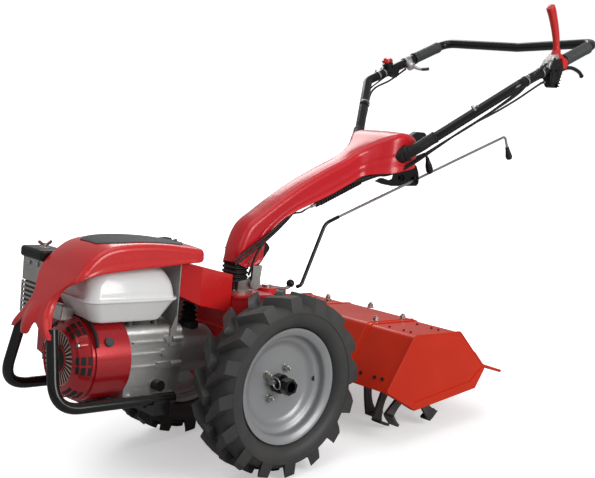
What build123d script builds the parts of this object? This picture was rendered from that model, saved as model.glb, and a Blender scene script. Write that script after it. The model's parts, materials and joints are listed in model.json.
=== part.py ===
"""Two-wheeled walking tractor with a bolted rotary tiller.

Millimetres, +X towards the engine, +Y to the machine's left, +Z up. The origin is on the
ground below the middle of the machine. The machine rests on its wheels and on the tips of
its tines, so the chassis is pitched nose up about the axle: u runs forward and w runs up in
the chassis' own pitched axes, both from the axle's centre.
"""
from build123d import *
import os
from math import asin, cos, degrees, radians, sin

os.makedirs("parts", exist_ok=True)

# Stance
AXLE_X = 314.0
AXLE_Z = 227.5
PITCH = 7.0

# Wheels
TRACK = 410.0
TYRE_R = 227.5
TYRE_W = 112.0
CARCASS_R = 204.0
SHOULDER_R = 184.0
CROWN_HALF = 26.0
BEAD_R = 127.0
RIM_FLANGE_R = 141.0
RIM_W = 76.0
RIM_WALL = 4.0
DISH_R = 93.0
WELL_R = 112.0
LUGS_PER_SIDE = 16
AXLE_SHAFT_R = 14.0
HUB_BORE_R = 12.5

# Chassis
CRANK_W = 50.0
ENGINE_Y = -12.0
BELL_R = 58.0
BELL_FLANGE_R = 70.0
BELL_REAR_U = 72.0
BELLOWS_R = 24.0
ENGINE_REAR_U = 196.0
CRANKCASE_FRONT_U = 350.0
CASE_SIDE = ENGINE_Y + 75.0
DRUM_R = 100.0
DRUM_FRONT_U = 440.0
RECOIL_FRONT_U = 486.0
RECOIL_DISC_R = 31.0
RECOIL_SLOTS = 32
SLOT_END_R = 63.0
SHROUD_WALL = 3.0
GEARBOX_REAR_U = -140.0
GEARBOX_HALF = 68.0
GEARBOX_TOP_W = 192.0
GEARBOX_SPLIT_W = 110.0
ENGINE_FOOT_W = -55.0
TUBE_R = 13.0
TUBE_WALL = 2.5
GUARD_HALF = 120.0
GUARD_TOP_HALF = 70.0
GUARD_FRONT_U = 561.0
GUARD_LOW_W = -30.0
HOOD_HALF = 95.0
HOOD_WALL = 4.0
HOOD_REAR_U = 130.0
BRACKET_U = 214.5

# Column and handlebars
HINGE_U = -40.0
HINGE_W = 216.0
TEETH_R = 15.0
TEETH = 24
BAR_R = 14.0
BAR_HALF = 288.0
MOUNT = (-487.0, 100.0, 593.0)
HEAD_HALF = 96.0
COLUMN_SHOULDER_R = 12.0
BAR_BEND = (-709.0, 790.0)
BAR_END = (-1066.0, 950.0)
GRIP_FRONT_U = -912.0
GRIP_REAR_U = -1026.0

# Tiller
ROTOR_U = -465.0
ROTOR_W = -37.0
TILLER_HALF = 300.0
CENTRE_HALF = 140.0
SHEET = 3.0
FOLD_R = 16.0
LIP = 14.0
CASE_HALF = 32.0
TIP_FROM = -4.0
TIP_TO = 13.0
BLADE = 26.0

AXLE_POINT = Vector(AXLE_X, 0, AXLE_Z)
FORE = Vector(cos(radians(PITCH)), 0, sin(radians(PITCH)))
UPWARD = Vector(-sin(radians(PITCH)), 0, cos(radians(PITCH)))


def at(u, y, w):
    """Point of the pitched chassis."""
    return AXLE_POINT + FORE * u + Vector(0, y, 0) + UPWARD * w


def side(y):
    """Plane along the chassis at y: local x is u, local y is w, its normal is -Y."""
    return Plane(origin=at(0, y, 0), x_dir=FORE, z_dir=(0, -1, 0))


def across(u):
    """Plane across the chassis at u: local x is Y, local y is w, its normal is forward."""
    return Plane(origin=at(u, 0, 0), x_dir=(0, 1, 0), z_dir=FORE)


def deck(w):
    """Plane level with the chassis at w: local x is u, local y is Y."""
    return Plane(origin=at(0, 0, w), x_dir=FORE, z_dir=UPWARD)


def keep(piece, name):
    """Label a finished piece and write it out."""
    piece.part.label = name
    export_step(piece.part, f"parts/{name}.step")


CRANK = at(0, ENGINE_Y, CRANK_W)
ROTOR = at(ROTOR_U, 0, ROTOR_W)
TINE_R = ROTOR.Z


def tyre(hand):
    """Agricultural tyre: round carcass with chevron bars on both sides."""
    centre_y = hand * TRACK / 2
    half = TYRE_W / 2
    spin = Axis(AXLE_POINT, (0, 1, 0))
    section = Plane(origin=(AXLE_X, centre_y, AXLE_Z), x_dir=(0, 1, 0), z_dir=(1, 0, 0))
    bead = RIM_W / 2 - RIM_WALL
    wall = ((bead, BEAD_R), (bead, RIM_FLANGE_R), (half - 2, SHOULDER_R - 22), (half, SHOULDER_R),
            (CROWN_HALF, CARCASS_R))
    with BuildPart() as piece:
        with BuildSketch(section):
            with BuildLine():
                Polyline(*wall, *((-y, r) for y, r in reversed(wall)), close=True)
            make_face()
        revolve(axis=spin)
        reach = 38.0
        top_r = (TYRE_R ** 2 - reach ** 2) ** 0.5
        pitch = 360 / LUGS_PER_SIDE
        settle = degrees(asin(reach / TYRE_R)) - pitch / 4
        for flank in (-1, 1):
            tops = []
            for i in range(LUGS_PER_SIDE):
                turn = radians(pitch * (i + 0.5 - 0.25 * flank) + settle)
                out = Vector(sin(turn), 0, cos(turn))
                along = Vector(cos(turn), 0, -sin(turn))
                tops.append(Plane(origin=Vector(AXLE_X, centre_y, AXLE_Z) + out * top_r,
                                  x_dir=along, z_dir=out))
            with BuildSketch(*tops):
                with BuildLine():
                    Polyline((reach - 16, flank * 3), (reach, flank * 3), (reach - 36, flank * 40),
                             (reach - 48, flank * (half - 3)), (-reach, flank * (half - 3)),
                             (16 - reach, flank * 36), close=True)
                make_face()
            extrude(amount=-42)
    return piece


def rim(hand):
    """Pressed disc rim: two flanges, a barrel and a dished disc inboard of the outer flange."""
    centre_y = hand * TRACK / 2
    section = Plane(origin=(AXLE_X, centre_y, AXLE_Z), x_dir=(0, hand, 0), z_dir=(hand, 0, 0))
    out = RIM_W / 2
    with BuildPart() as piece:
        with BuildSketch(section):
            with BuildLine():
                Polyline((-3, 24), (-3, DISH_R - 3), (6, DISH_R + 11), (12, WELL_R - 4),
                         (18, BEAD_R - RIM_WALL), (out, BEAD_R - RIM_WALL), (out, RIM_FLANGE_R),
                         (out - RIM_WALL, RIM_FLANGE_R), (out - RIM_WALL, BEAD_R), (16, BEAD_R),
                         (10, WELL_R), (-12, WELL_R), (-18, BEAD_R), (RIM_WALL - out, BEAD_R),
                         (RIM_WALL - out, RIM_FLANGE_R), (-out, RIM_FLANGE_R),
                         (-out, BEAD_R - RIM_WALL), (-20, BEAD_R - RIM_WALL), (-14, WELL_R - 4),
                         (-7, DISH_R), (-7, 24), close=True)
            make_face()
        revolve(axis=Axis(AXLE_POINT, (0, 1, 0)))
        with BuildSketch(Plane(origin=(AXLE_X, centre_y, AXLE_Z), x_dir=(1, 0, 0),
                               z_dir=(0, hand, 0))):
            with Locations((DISH_R + 9, 0)):
                SlotCenterToCenter(14, 9, rotation=90)
        extrude(amount=out, mode=Mode.SUBTRACT)
    return piece


def hub(hand):
    """Hub: shaft in the axle housing, bolting flange, collar and hollow hexagonal stub."""
    centre_y = hand * TRACK / 2
    stub = Plane(origin=(AXLE_X, centre_y + hand * 2, AXLE_Z), x_dir=(1, 0, 0), z_dir=(0, hand, 0))
    with BuildPart() as piece:
        with BuildSketch(stub.offset(-137)):
            Circle(AXLE_SHAFT_R)
        extrude(amount=125)
        with BuildSketch(stub.offset(-21)):
            Circle(38)
        extrude(amount=12)
        with BuildSketch(stub.offset(-80)):
            Circle(26)
        extrude(amount=59)
        with BuildSketch(stub.offset(-9)):
            Circle(24)
        extrude(amount=23)
        with BuildSketch(stub.offset(14)):
            RegularPolygon(20, 6)
        extrude(amount=34)
        with BuildSketch(stub.offset(20)):
            Circle(HUB_BORE_R)
        extrude(amount=28, mode=Mode.SUBTRACT)
    return piece


for hand, name in ((1, "left"), (-1, "right")):
    keep(tyre(hand), f"tyre_{name}")
    keep(rim(hand), f"rim_{name}")
    keep(hub(hand), f"hub_{name}")

# Gearbox and axle housings
with BuildPart() as gearbox_case:
    with BuildSketch(side(0)):
        with BuildLine():
            Polyline((BELL_REAR_U, GEARBOX_SPLIT_W), (BELL_REAR_U, -20), (30, -70), (-90, -70),
                     (GEARBOX_REAR_U, -40), (GEARBOX_REAR_U, GEARBOX_SPLIT_W), close=True)
        make_face()
    extrude(amount=GEARBOX_HALF, both=True)
    fillet(gearbox_case.edges().filter_by(Axis.Y, reverse=True).filter_by(GeomType.LINE)
           .group_by(SortBy.LENGTH)[0], 6)
keep(gearbox_case, "gearbox_case")

with BuildPart() as gearbox_top:
    with BuildSketch(side(0)):
        with BuildLine():
            Polyline((55, GEARBOX_SPLIT_W), (55, GEARBOX_TOP_W - 7), (-135, GEARBOX_TOP_W - 7),
                     (GEARBOX_REAR_U, GEARBOX_TOP_W - 25), (GEARBOX_REAR_U, GEARBOX_SPLIT_W), close=True)
        make_face()
    extrude(amount=GEARBOX_HALF, both=True)
    with BuildSketch(deck(GEARBOX_TOP_W - 7)):
        with Locations((-10, 0)):
            RectangleRounded(130, 2 * GEARBOX_HALF + 16, 12)
    extrude(amount=7)
    with BuildSketch(deck(GEARBOX_TOP_W - 7)):
        with Locations((-110, 0)):
            Circle(30)
    extrude(amount=14)
keep(gearbox_top, "gearbox_top")

with BuildPart() as axle_housings:
    for hand in (1, -1):
        root = Plane(origin=at(0, hand * GEARBOX_HALF, 0), x_dir=(1, 0, 0), z_dir=(0, hand, 0))
        with BuildSketch(root):
            Circle(42)
        extrude(amount=40)
        with BuildSketch(root.offset(40)):
            Circle(52)
        extrude(amount=10)
        with BuildSketch(root):
            Circle(AXLE_SHAFT_R + 0.5)
        extrude(amount=50, mode=Mode.SUBTRACT)
keep(axle_housings, "axle_housings")

# Clutch housing
with BuildPart() as clutch_housing:
    with BuildSketch(Plane(origin=CRANK, x_dir=FORE, z_dir=(0, -1, 0))):
        with BuildLine():
            Polyline((BELL_REAR_U, 0), (BELL_REAR_U, BELL_R - 6), (BELL_REAR_U + 6, BELL_R),
                     (ENGINE_REAR_U - 24, BELL_R), (ENGINE_REAR_U - 18, BELL_FLANGE_R),
                     (ENGINE_REAR_U, BELL_FLANGE_R), (ENGINE_REAR_U, 0), close=True)
        make_face()
    revolve(axis=Axis(CRANK, FORE))
keep(clutch_housing, "clutch_housing")

with BuildPart() as shift_boot:
    base = Plane(origin=at(125, ENGINE_Y, CRANK_W + BELL_R - 8), x_dir=FORE, z_dir=UPWARD)
    folds = [(BELLOWS_R - i if i % 2 else BELLOWS_R - 7 - i, 22 + 6 * i) for i in range(9)]
    with BuildSketch(Plane(origin=base.origin, x_dir=(0, 1, 0), z_dir=FORE)):
        with BuildLine():
            Polyline((0, 0), (26, 0), (26, 18), *folds, (0, folds[-1][1]), close=True)
        make_face()
    revolve(axis=Axis(base.origin, UPWARD))
    add(clutch_housing.part, mode=Mode.SUBTRACT)
keep(shift_boot, "shift_boot")

# Engine
with BuildPart() as crankcase:
    with BuildSketch(across(ENGINE_REAR_U)):
        with Locations((ENGINE_Y, 37)):
            RectangleRounded(150, 184, 20)
    extrude(amount=CRANKCASE_FRONT_U - ENGINE_REAR_U)
    near_wall = side(CASE_SIDE)
    with BuildSketch(near_wall):
        with Locations((300, 34), (296, 64), (292, 92)):
            Rectangle(86, 4)
        with Locations((248, 34)):
            Rectangle(34, 15)
        with Locations((246, 64), (238, 96), (214, -38), (334, -38)):
            Circle(8)
    extrude(amount=-7)
    with BuildSketch(across(ENGINE_REAR_U)):
        with Locations((CASE_SIDE, 34), (CASE_SIDE, 96)):
            Circle(9)
    extrude(amount=30)
keep(crankcase, "crankcase")

with BuildPart() as cylinder_block:
    tilt = Plane(origin=at(285, ENGINE_Y - 75, 95), x_dir=FORE,
                 z_dir=Vector(0, -cos(radians(25)), 0) + UPWARD * sin(radians(25)))
    with BuildSketch(tilt):
        RectangleRounded(96, 96, 10)
    extrude(amount=100)
    for i in range(6):
        with BuildSketch(tilt.offset(22 + i * 12)):
            RectangleRounded(116, 116, 12)
        extrude(amount=5)
    add(crankcase.part, mode=Mode.SUBTRACT)
keep(cylinder_block, "cylinder_block")

with BuildPart() as fan_shroud:
    with BuildSketch(Plane(origin=CRANK + FORE * CRANKCASE_FRONT_U, x_dir=(0, 1, 0), z_dir=FORE)):
        Circle(DRUM_R)
    extrude(amount=DRUM_FRONT_U - CRANKCASE_FRONT_U)
    with BuildSketch(across(CRANKCASE_FRONT_U)):
        with BuildLine():
            Polyline((ENGINE_Y, 149), (-88, 150), (-104, 182), (-192, 182), (-192, 30), (-100, 12),
                     (ENGINE_Y, 20), close=True)
        make_face()
    extrude(amount=438 - CRANKCASE_FRONT_U)
    with BuildSketch(Plane(origin=CRANK + FORE * CRANKCASE_FRONT_U, x_dir=(0, 1, 0), z_dir=FORE)):
        Circle(DRUM_R - SHROUD_WALL)
    extrude(amount=DRUM_FRONT_U - CRANKCASE_FRONT_U - SHROUD_WALL, mode=Mode.SUBTRACT)
    with BuildSketch(across(CRANKCASE_FRONT_U)):
        with Locations((-146, 106)):
            Rectangle(84, 145)
    extrude(amount=438 - CRANKCASE_FRONT_U - SHROUD_WALL, mode=Mode.SUBTRACT)
    with BuildSketch(Plane(origin=CRANK + FORE * CRANKCASE_FRONT_U, x_dir=(0, 1, 0), z_dir=FORE)):
        Circle(DRUM_R - 9)
    extrude(amount=DRUM_FRONT_U - CRANKCASE_FRONT_U, mode=Mode.SUBTRACT)
keep(fan_shroud, "fan_shroud")

with BuildPart() as recoil_cover:
    with BuildSketch(Plane(origin=CRANK, x_dir=FORE, z_dir=(0, -1, 0))):
        with BuildLine():
            outer = ((DRUM_FRONT_U, 95), (DRUM_FRONT_U + 8, 95), (RECOIL_FRONT_U - 14, 84),
                     (RECOIL_FRONT_U - 4, 68), (RECOIL_FRONT_U - 4, RECOIL_DISC_R))
            inner = ((RECOIL_FRONT_U - 8, RECOIL_DISC_R), (RECOIL_FRONT_U - 8, 66),
                     (RECOIL_FRONT_U - 17, 80), (DRUM_FRONT_U + 5, 91), (DRUM_FRONT_U, 91))
            Polyline(*outer, *inner, close=True)
        make_face()
    revolve(axis=Axis(CRANK, FORE))
    face = Plane(origin=CRANK + FORE * (RECOIL_FRONT_U - 4), x_dir=(0, 1, 0), z_dir=FORE)
    with BuildSketch(face):
        with PolarLocations((RECOIL_DISC_R + SLOT_END_R) / 2, RECOIL_SLOTS):
            SlotOverall(SLOT_END_R - RECOIL_DISC_R - 5, 3.4)
        for turn in range(0, 360, 60):
            for step in (-9, 0, 9):
                with PolarLocations(73, 1, start_angle=turn + step):
                    Rectangle(8, 5)
                with PolarLocations(86, 1, start_angle=turn + step):
                    Rectangle(7, 6)
    extrude(amount=-34, mode=Mode.SUBTRACT)
keep(recoil_cover, "recoil_cover")

# Starter disc, and on its hub the fan wheel that shows through the slots
with BuildPart() as recoil_disc:
    fan_face = Plane(origin=CRANK + FORE * (DRUM_FRONT_U - 8), x_dir=(0, 1, 0), z_dir=FORE)
    with BuildSketch(fan_face):
        Circle(DRUM_R - 12)
    extrude(amount=3)
    with BuildSketch(fan_face.offset(3)):
        with PolarLocations(60, 20):
            Rectangle(44, 2.5, rotation=25)
    extrude(amount=16)
    with BuildSketch(fan_face):
        Circle(RECOIL_DISC_R)
    extrude(amount=RECOIL_FRONT_U - DRUM_FRONT_U + 8)
keep(recoil_disc, "recoil_disc")

with BuildPart() as fuel_tank:
    with BuildSketch(deck(195)):
        with Locations((346, 0)):
            RectangleRounded(240, 164, 38)
    extrude(amount=75, taper=9)
    fillet(fuel_tank.faces().sort_by(Axis(at(0, 0, 0), UPWARD))[-1].edges(), 26)
    with BuildSketch(deck(195)):
        with Locations((346, 0)):
            RectangleRounded(240, 164, 38)
    extrude(amount=-43, taper=14)
    with BuildSketch(deck(192)):
        with Locations((346, 0)):
            RectangleRounded(248, 172, 42)
    extrude(amount=5)
keep(fuel_tank, "fuel_tank")

with BuildPart() as tank_posts:
    with BuildSketch(deck(129)):
        with Locations((292, ENGINE_Y)):
            with GridLocations(70, 90, 2, 2):
                Circle(9)
    extrude(amount=23)
keep(tank_posts, "tank_posts")

with BuildPart() as muffler:
    with BuildSketch(deck(125)):
        with Locations((480, -148)):
            RectangleRounded(84, 76, 10)
    extrude(amount=80)
    with BuildSketch(across(522)):
        with Locations((-148, 164)):
            with GridLocations(1, 11, 1, 7):
                Rectangle(58, 5)
    extrude(amount=5)
keep(muffler, "muffler")

with BuildPart() as air_cleaner_body:
    with BuildSketch(deck(205)):
        with Locations((492, -145)):
            RectangleRounded(92, 88, 10)
    extrude(amount=52)
keep(air_cleaner_body, "air_cleaner_body")

with BuildPart() as air_cleaner_lid:
    with BuildSketch(deck(257)):
        with Locations((492, -145)):
            RectangleRounded(100, 96, 12)
    extrude(amount=32)
    fillet(air_cleaner_lid.faces().sort_by(Axis(at(0, 0, 0), UPWARD))[-1].edges(), 8)
keep(air_cleaner_lid, "air_cleaner_lid")

with BuildPart() as oil_cap:
    with BuildSketch(Plane(origin=at(262, ENGINE_Y + 75, -12), x_dir=(1, 0, 0), z_dir=(0, 1, 0))):
        Circle(13)
    extrude(amount=22)
keep(oil_cap, "oil_cap")


def guard(hand, bore=0):
    """Front guard tube: lower run beside the engine, bent up and inwards to the hood's nose."""
    with BuildPart() as piece:
        with BuildLine() as path:
            FilletPolyline(at(248, hand * GUARD_HALF, GUARD_LOW_W),
                           at(GUARD_FRONT_U, hand * GUARD_HALF, GUARD_LOW_W),
                           at(GUARD_FRONT_U, hand * GUARD_TOP_HALF, 160), radius=62)
        with BuildSketch(Plane(origin=path.line @ 0, z_dir=path.line % 0)):
            Circle(TUBE_R)
            if bore:
                Circle(bore, mode=Mode.SUBTRACT)
        sweep()
    return piece


guard_rods = (guard(1), guard(-1))
keep(guard(1, TUBE_R - TUBE_WALL), "guard_left")
keep(guard(-1, TUBE_R - TUBE_WALL), "guard_right")

with BuildPart() as engine_base:
    with BuildSketch(deck(ENGINE_FOOT_W - 10)):
        with Locations((305, ENGINE_Y)):
            RectangleRounded(210, 130, 8)
    extrude(amount=10)
    with BuildSketch(deck(ENGINE_FOOT_W - 10)):
        with Locations((290, 0)):
            Rectangle(44, 2 * GUARD_HALF + 30)
    extrude(amount=10)
    for hand in (1, -1):
        with BuildSketch(deck(ENGINE_FOOT_W)):
            with Locations((290, hand * GUARD_HALF)):
                Rectangle(44, 30)
        extrude(amount=24)
    for rod in guard_rods:
        add(rod.part, mode=Mode.SUBTRACT)
keep(engine_base, "engine_base")

# Hood
HOOD_CROWN = ((578, 118), (572, 150), (556, 182), (528, 220), (500, 258), (475, 292), (430, 321),
              (320, 331), (180, 318), (130, 300))
HOOD_EDGE = ((130, 285), (244, 276), (412, 262), (483, 252), (510, 242), (520, 229), (525, 195),
             (537, 171), (547, 150), (562, 112))
HOOD_FRONT = ((90, 275), (82, 250), (62, 230), (46, 205), (45, 190), (50, 170), (62, 150), (76, 135),
              (88, 119))
HOOD_SCALLOP = ((66, 124), (50, 137), (34, 132), (14, 119))


def moved(points, depth):
    """Points of a run moved by a depth towards its left."""
    beside = []
    for i, (x, y) in enumerate(points):
        before = points[max(i - 1, 0)]
        after = points[min(i + 1, len(points) - 1)]
        gap = Vector(after[0] - before[0], after[1] - before[1], 0).normalized() * depth
        beside.append((x - gap.Y, y + gap.X))
    return beside


def hood_form(inset):
    """Solid under the hood's skin: its profile, cut by its outline seen from ahead."""
    below = 80.0
    with BuildPart() as piece:
        with BuildSketch(side(0)):
            with BuildLine():
                crown = Spline(*moved(HOOD_CROWN, inset))
                if inset:
                    Polyline(crown @ 1, (HOOD_REAR_U + inset, below), (578 - inset, below), crown @ 0)
                else:
                    Polyline(crown @ 1, *HOOD_EDGE, crown @ 0)
            make_face()
        extrude(amount=HOOD_HALF, both=True)
        with BuildSketch(across(90)):
            with BuildLine():
                near = Spline(*moved(HOOD_FRONT, -inset))
                far = Spline(*((-y, w) for y, w in reversed(moved(HOOD_FRONT, -inset))))
                if inset:
                    Polyline(near @ 1, (86, below), (-86, below), far @ 0)
                else:
                    Polyline(near @ 1, *HOOD_SCALLOP, *((-y, w) for y, w in reversed(HOOD_SCALLOP)),
                             far @ 0)
                Polyline(far @ 1, (inset - 90, 345), (90 - inset, 345), near @ 0)
            make_face()
        extrude(amount=520, mode=Mode.INTERSECT)
    return piece


with BuildPart() as hood:
    add(hood_form(0).part)
    fillet(hood.edges().filter_by(lambda edge: edge.length > 300).sort_by(Axis.Z)[-2:], 6)
    with BuildSketch(deck(90)):
        with BuildLine():
            Polyline((600, 100), (173, 100), (173, 90), (128, 35), (128, -35), (173, -90),
                     (173, -100), (600, -100), close=True)
        make_face()
    extrude(amount=260, mode=Mode.INTERSECT)
    add(hood_form(HOOD_WALL).part, mode=Mode.SUBTRACT)
    for rod in guard_rods:
        add(rod.part, mode=Mode.SUBTRACT)
keep(hood, "hood")

with BuildPart() as hood_pad:
    with BuildSketch(side(0)):
        with BuildLine():
            low = Spline((440, 318), (320, 331), (190, 320))
            Line(low @ 1, (190, 324))
            high = Spline((190, 324), (320, 335), (440, 322))
            Line(high @ 1, low @ 0)
        make_face()
    extrude(amount=62, both=True)
    add(hood.part, mode=Mode.SUBTRACT)
keep(hood_pad, "hood_pad")

with BuildPart() as rear_box:
    with BuildSketch(side(0)):
        with BuildLine():
            Polyline((77, 158), (77, 250), (214, 279), (214, 199), (170, 177), close=True)
        make_face()
    extrude(amount=90, both=True)
    with BuildSketch(deck(150)):
        with BuildLine():
            Polyline((77, 90), (170, 90), (214, 60), (214, -60), (170, -90), (77, -90), close=True)
        make_face()
    extrude(amount=140, mode=Mode.INTERSECT)
    add(shift_boot.part, mode=Mode.SUBTRACT)
keep(rear_box, "rear_box")

# Bracket behind the tank: a plate across the machine, its near tab bolted beside the crankcase
with BuildPart() as hood_bracket:
    tab_y = CASE_SIDE + 0.5
    with BuildSketch(across(BRACKET_U)):
        with BuildLine():
            Polyline((tab_y + 3, 276), (tab_y + 3, 78), (tab_y, 78), (tab_y, 132), (30, 132),
                     (-60, 160), (-86, 190), (-86, 276), close=True)
        make_face()
    extrude(amount=3)
    with BuildSketch(side(tab_y + 3)):
        with BuildLine():
            Polyline((BRACKET_U, 78), (BRACKET_U, 150), (BRACKET_U + 4, 150), (BRACKET_U + 18, 118),
                     (BRACKET_U + 18, 78), close=True)
        make_face()
    extrude(amount=3)
    add(crankcase.part, mode=Mode.SUBTRACT)
keep(hood_bracket, "hood_bracket")

# Turret and column
with BuildPart() as turret:
    with BuildSketch(deck(GEARBOX_TOP_W)):
        with Locations((-10, 0)):
            Circle(42)
    extrude(amount=5)
    with BuildSketch(deck(GEARBOX_TOP_W + 5)):
        with Locations((-5, 0)):
            RectangleRounded(46, 44, 6)
    extrude(amount=27)
    for y in (-22, 32):
        with BuildSketch(side(y)):
            with BuildLine():
                Polyline((HINGE_U, HINGE_W - 13), (-20, GEARBOX_TOP_W + 5), (10, GEARBOX_TOP_W + 5),
                         (10, HINGE_W + 5), (HINGE_U, HINGE_W + 13), close=True)
            make_face()
            with Locations((HINGE_U, HINGE_W)):
                Circle(TEETH_R)
                Circle(5.3, mode=Mode.SUBTRACT)
                with PolarLocations(TEETH_R, TEETH):
                    Rectangle(4, 3)
        extrude(amount=10)
keep(turret, "turret")

COLUMN_TOP = ((26, 268), (13, 323), (-14, 371), (-67, 406), (-196, 488), (-336, 551), (-379, 578),
              (-463, 632), (-503, 640), (-561, 621), (-594, 590))
COLUMN_EDGE = ((-590, 548), (-405, 508), (-278, 449), (-140, 392), (-72, 338), (-58, 281), (-40, 256),
               (10, 244))
COLUMN_PLAN = ((30, 34), (-380, 36), (-400, 38), (-430, 62), (-455, 84), (-489, 92), (-530, 90),
               (-560, 76), (-588, 48), (-600, 14))
with BuildPart() as column_cover:
    with BuildSketch(side(0)):
        with BuildLine():
            back = Spline(*COLUMN_TOP)
            Polyline(back @ 1, *COLUMN_EDGE, back @ 0)
        make_face()
    extrude(amount=HEAD_HALF, both=True)
    with BuildSketch(deck(230)):
        with BuildLine():
            arm = Line(COLUMN_PLAN[0], COLUMN_PLAN[1])
            head = Spline(*COLUMN_PLAN[1:])
            Line(head @ 1, (-600, -14))
            far_head = Spline(*((u, -y) for u, y in reversed(COLUMN_PLAN[1:])))
            Polyline(far_head @ 1, (30, -34), arm @ 0)
        make_face()
    extrude(amount=430, mode=Mode.INTERSECT)
    crown = column_cover.edges().filter_by(GeomType.BSPLINE).filter_by(
        lambda edge: edge.center().Z > 600)
    fillet(crown.filter_by(lambda edge: edge.length > 500), COLUMN_SHOULDER_R)

with BuildPart() as column_foot:
    for y in (-32.5, 40.5):
        with BuildSketch(side(y)):
            with BuildLine():
                Polyline((HINGE_U - 13, HINGE_W), (HINGE_U + 13, HINGE_W), (-28, 262), (-58, 262),
                         close=True)
            make_face()
            with Locations((HINGE_U, HINGE_W)):
                Circle(TEETH_R)
                with PolarLocations(TEETH_R, TEETH):
                    Rectangle(4, 3)
        extrude(amount=8)
    with BuildSketch(side(0)):
        with Locations((HINGE_U, HINGE_W)):
            Circle(5)
    extrude(amount=33, both=True)
    add(column_cover.part, mode=Mode.SUBTRACT)
keep(column_foot, "column_foot")


def bar_w(u):
    """Height of the handlebar's straight upper run at u."""
    share = (u - BAR_BEND[0]) / (BAR_END[0] - BAR_BEND[0])
    return BAR_BEND[1] + share * (BAR_END[1] - BAR_BEND[1])


def tube(points, radius, bend, bore=0):
    """Round bar along points, its bends rounded, hollow where a bore is given."""
    with BuildPart() as piece:
        with BuildLine() as path:
            if len(points) > 2:
                FilletPolyline(*points, radius=bend)
            else:
                Line(*points)
        with BuildSketch(Plane(origin=path.line @ 0, z_dir=path.line % 0)):
            Circle(radius)
            if bore:
                Circle(bore, mode=Mode.SUBTRACT)
        sweep()
    return piece


def mirrored(points):
    """The same points on the machine's other side, in reverse order."""
    return [Vector(p.X, -p.Y, p.Z) for p in reversed(points)]


left_half = [at(MOUNT[0] + 20, MOUNT[1] - 14, MOUNT[2] - 12), at(-560, 150, 648),
             at(BAR_BEND[0], BAR_HALF, BAR_BEND[1]), at(BAR_END[0], BAR_HALF, BAR_END[1])]
bar_route = left_half + [at(-1074, 0, 938)] + mirrored(left_half)
bar_rod = tube(bar_route, BAR_R, 38)
keep(tube(bar_route, BAR_R, 38, BAR_R - TUBE_WALL), "handlebar")


def sleeve(a, b, outer, inner):
    """Round sleeve between two points."""
    with BuildPart() as piece:
        with BuildSketch(Plane(origin=a, z_dir=b - a)):
            Circle(outer)
            Circle(inner, mode=Mode.SUBTRACT)
        extrude(amount=(b - a).length)
    return piece


def bar_point(u, hand):
    """Point on the centre line of the handlebar's upper run."""
    return at(u, hand * BAR_HALF, bar_w(u))


for hand, name in ((1, "left"), (-1, "right")):
    keep(sleeve(bar_point(GRIP_FRONT_U, hand), bar_point(GRIP_REAR_U, hand), 17.5, BAR_R),
         f"grip_{name}")

with BuildPart() as bar_collars:
    for hand in (1, -1):
        start = at(MOUNT[0] - 8, hand * (MOUNT[1] + 5), MOUNT[2] + 6)
        end = at(-560, hand * 150, 648)
        run = (end - start).normalized()
        with BuildSketch(Plane(origin=start, z_dir=run)):
            Circle(20)
        extrude(amount=26)
    add(bar_rod.part, mode=Mode.SUBTRACT)
keep(bar_collars, "bar_collars")

with column_cover:
    add(bar_rod.part, mode=Mode.SUBTRACT)
    add(bar_collars.part, mode=Mode.SUBTRACT)
keep(column_cover, "column_cover")

gear_rod = tube([at(-221, 0, 197), at(-358, 0, 376), at(-1062, 0, 653), at(-1078, 0, 622)], 4.5,
                (60, 12))
keep(gear_rod, "gear_rod")

with BuildPart() as gate_plate:
    with BuildSketch(across(-648)):
        with BuildLine():
            Polyline((85, 482), (85, 545), (70, 556), (20, 556), (-60, 530), (-110, 505), (-110, 492),
                     (-40, 478), (75, 474), close=True)
        make_face()
    extrude(amount=4)
    with BuildSketch(deck(548)):
        with Locations((-614, 42)):
            Rectangle(68, 50)
    extrude(amount=4)
    add(column_cover.part, mode=Mode.SUBTRACT)
    with BuildSketch(across(-660)):
        with Locations((0, 490.5)):
            Circle(9)
        with Locations((38, 505)):
            Circle(6)
        with BuildLine():
            Polyline((-62, 520), (-30, 530), (-30, 500), (-52, 504), close=True)
        make_face()
    extrude(amount=20, mode=Mode.SUBTRACT)
keep(gate_plate, "gate_plate")

tool_rod = tube([at(-586, 12, 550), at(-687, 12, 572), at(-700, 12, 556)], 4, (6,))
with tool_rod:
    add(gate_plate.part, mode=Mode.SUBTRACT)
    add(column_cover.part, mode=Mode.SUBTRACT)
keep(tool_rod, "tool_rod")


def rod_knob(top, run, length):
    """Teardrop knob on a rod's end."""
    with BuildPart() as piece:
        with BuildSketch(Plane(origin=top, x_dir=(0, 1, 0), z_dir=Vector(0, 1, 0).cross(run))):
            with BuildLine():
                Polyline((0, 0), (6, 0), (7, length * 0.25), (11, length * 0.75),
                         (9, length * 0.93), (4, length), (0, length), close=True)
            make_face()
        revolve(axis=Axis(top, run))
    return piece


gear_run = (at(-1078, 0, 622) - at(-1062, 0, 653)).normalized()
keep(rod_knob(at(-1078, 0, 622), gear_run, 44), "gear_knob")
tool_run = (at(-700, 12, 556) - at(-687, 12, 572)).normalized()
keep(rod_knob(at(-700, 12, 556), tool_run, 40), "tool_knob")

with BuildPart() as safety_lever:
    with BuildSketch(side(BAR_HALF + 7)):
        with BuildLine():
            Polyline((-850, bar_w(-850) + 14), (-894, bar_w(-894) + 14), (-880, 905), (-866, 960),
                     (-824, 1030), (-806, 1028), (-842, 960), (-856, 905), close=True)
        make_face()
    extrude(amount=14)
    add(bar_rod.part, mode=Mode.SUBTRACT)
keep(safety_lever, "safety_lever")

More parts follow.
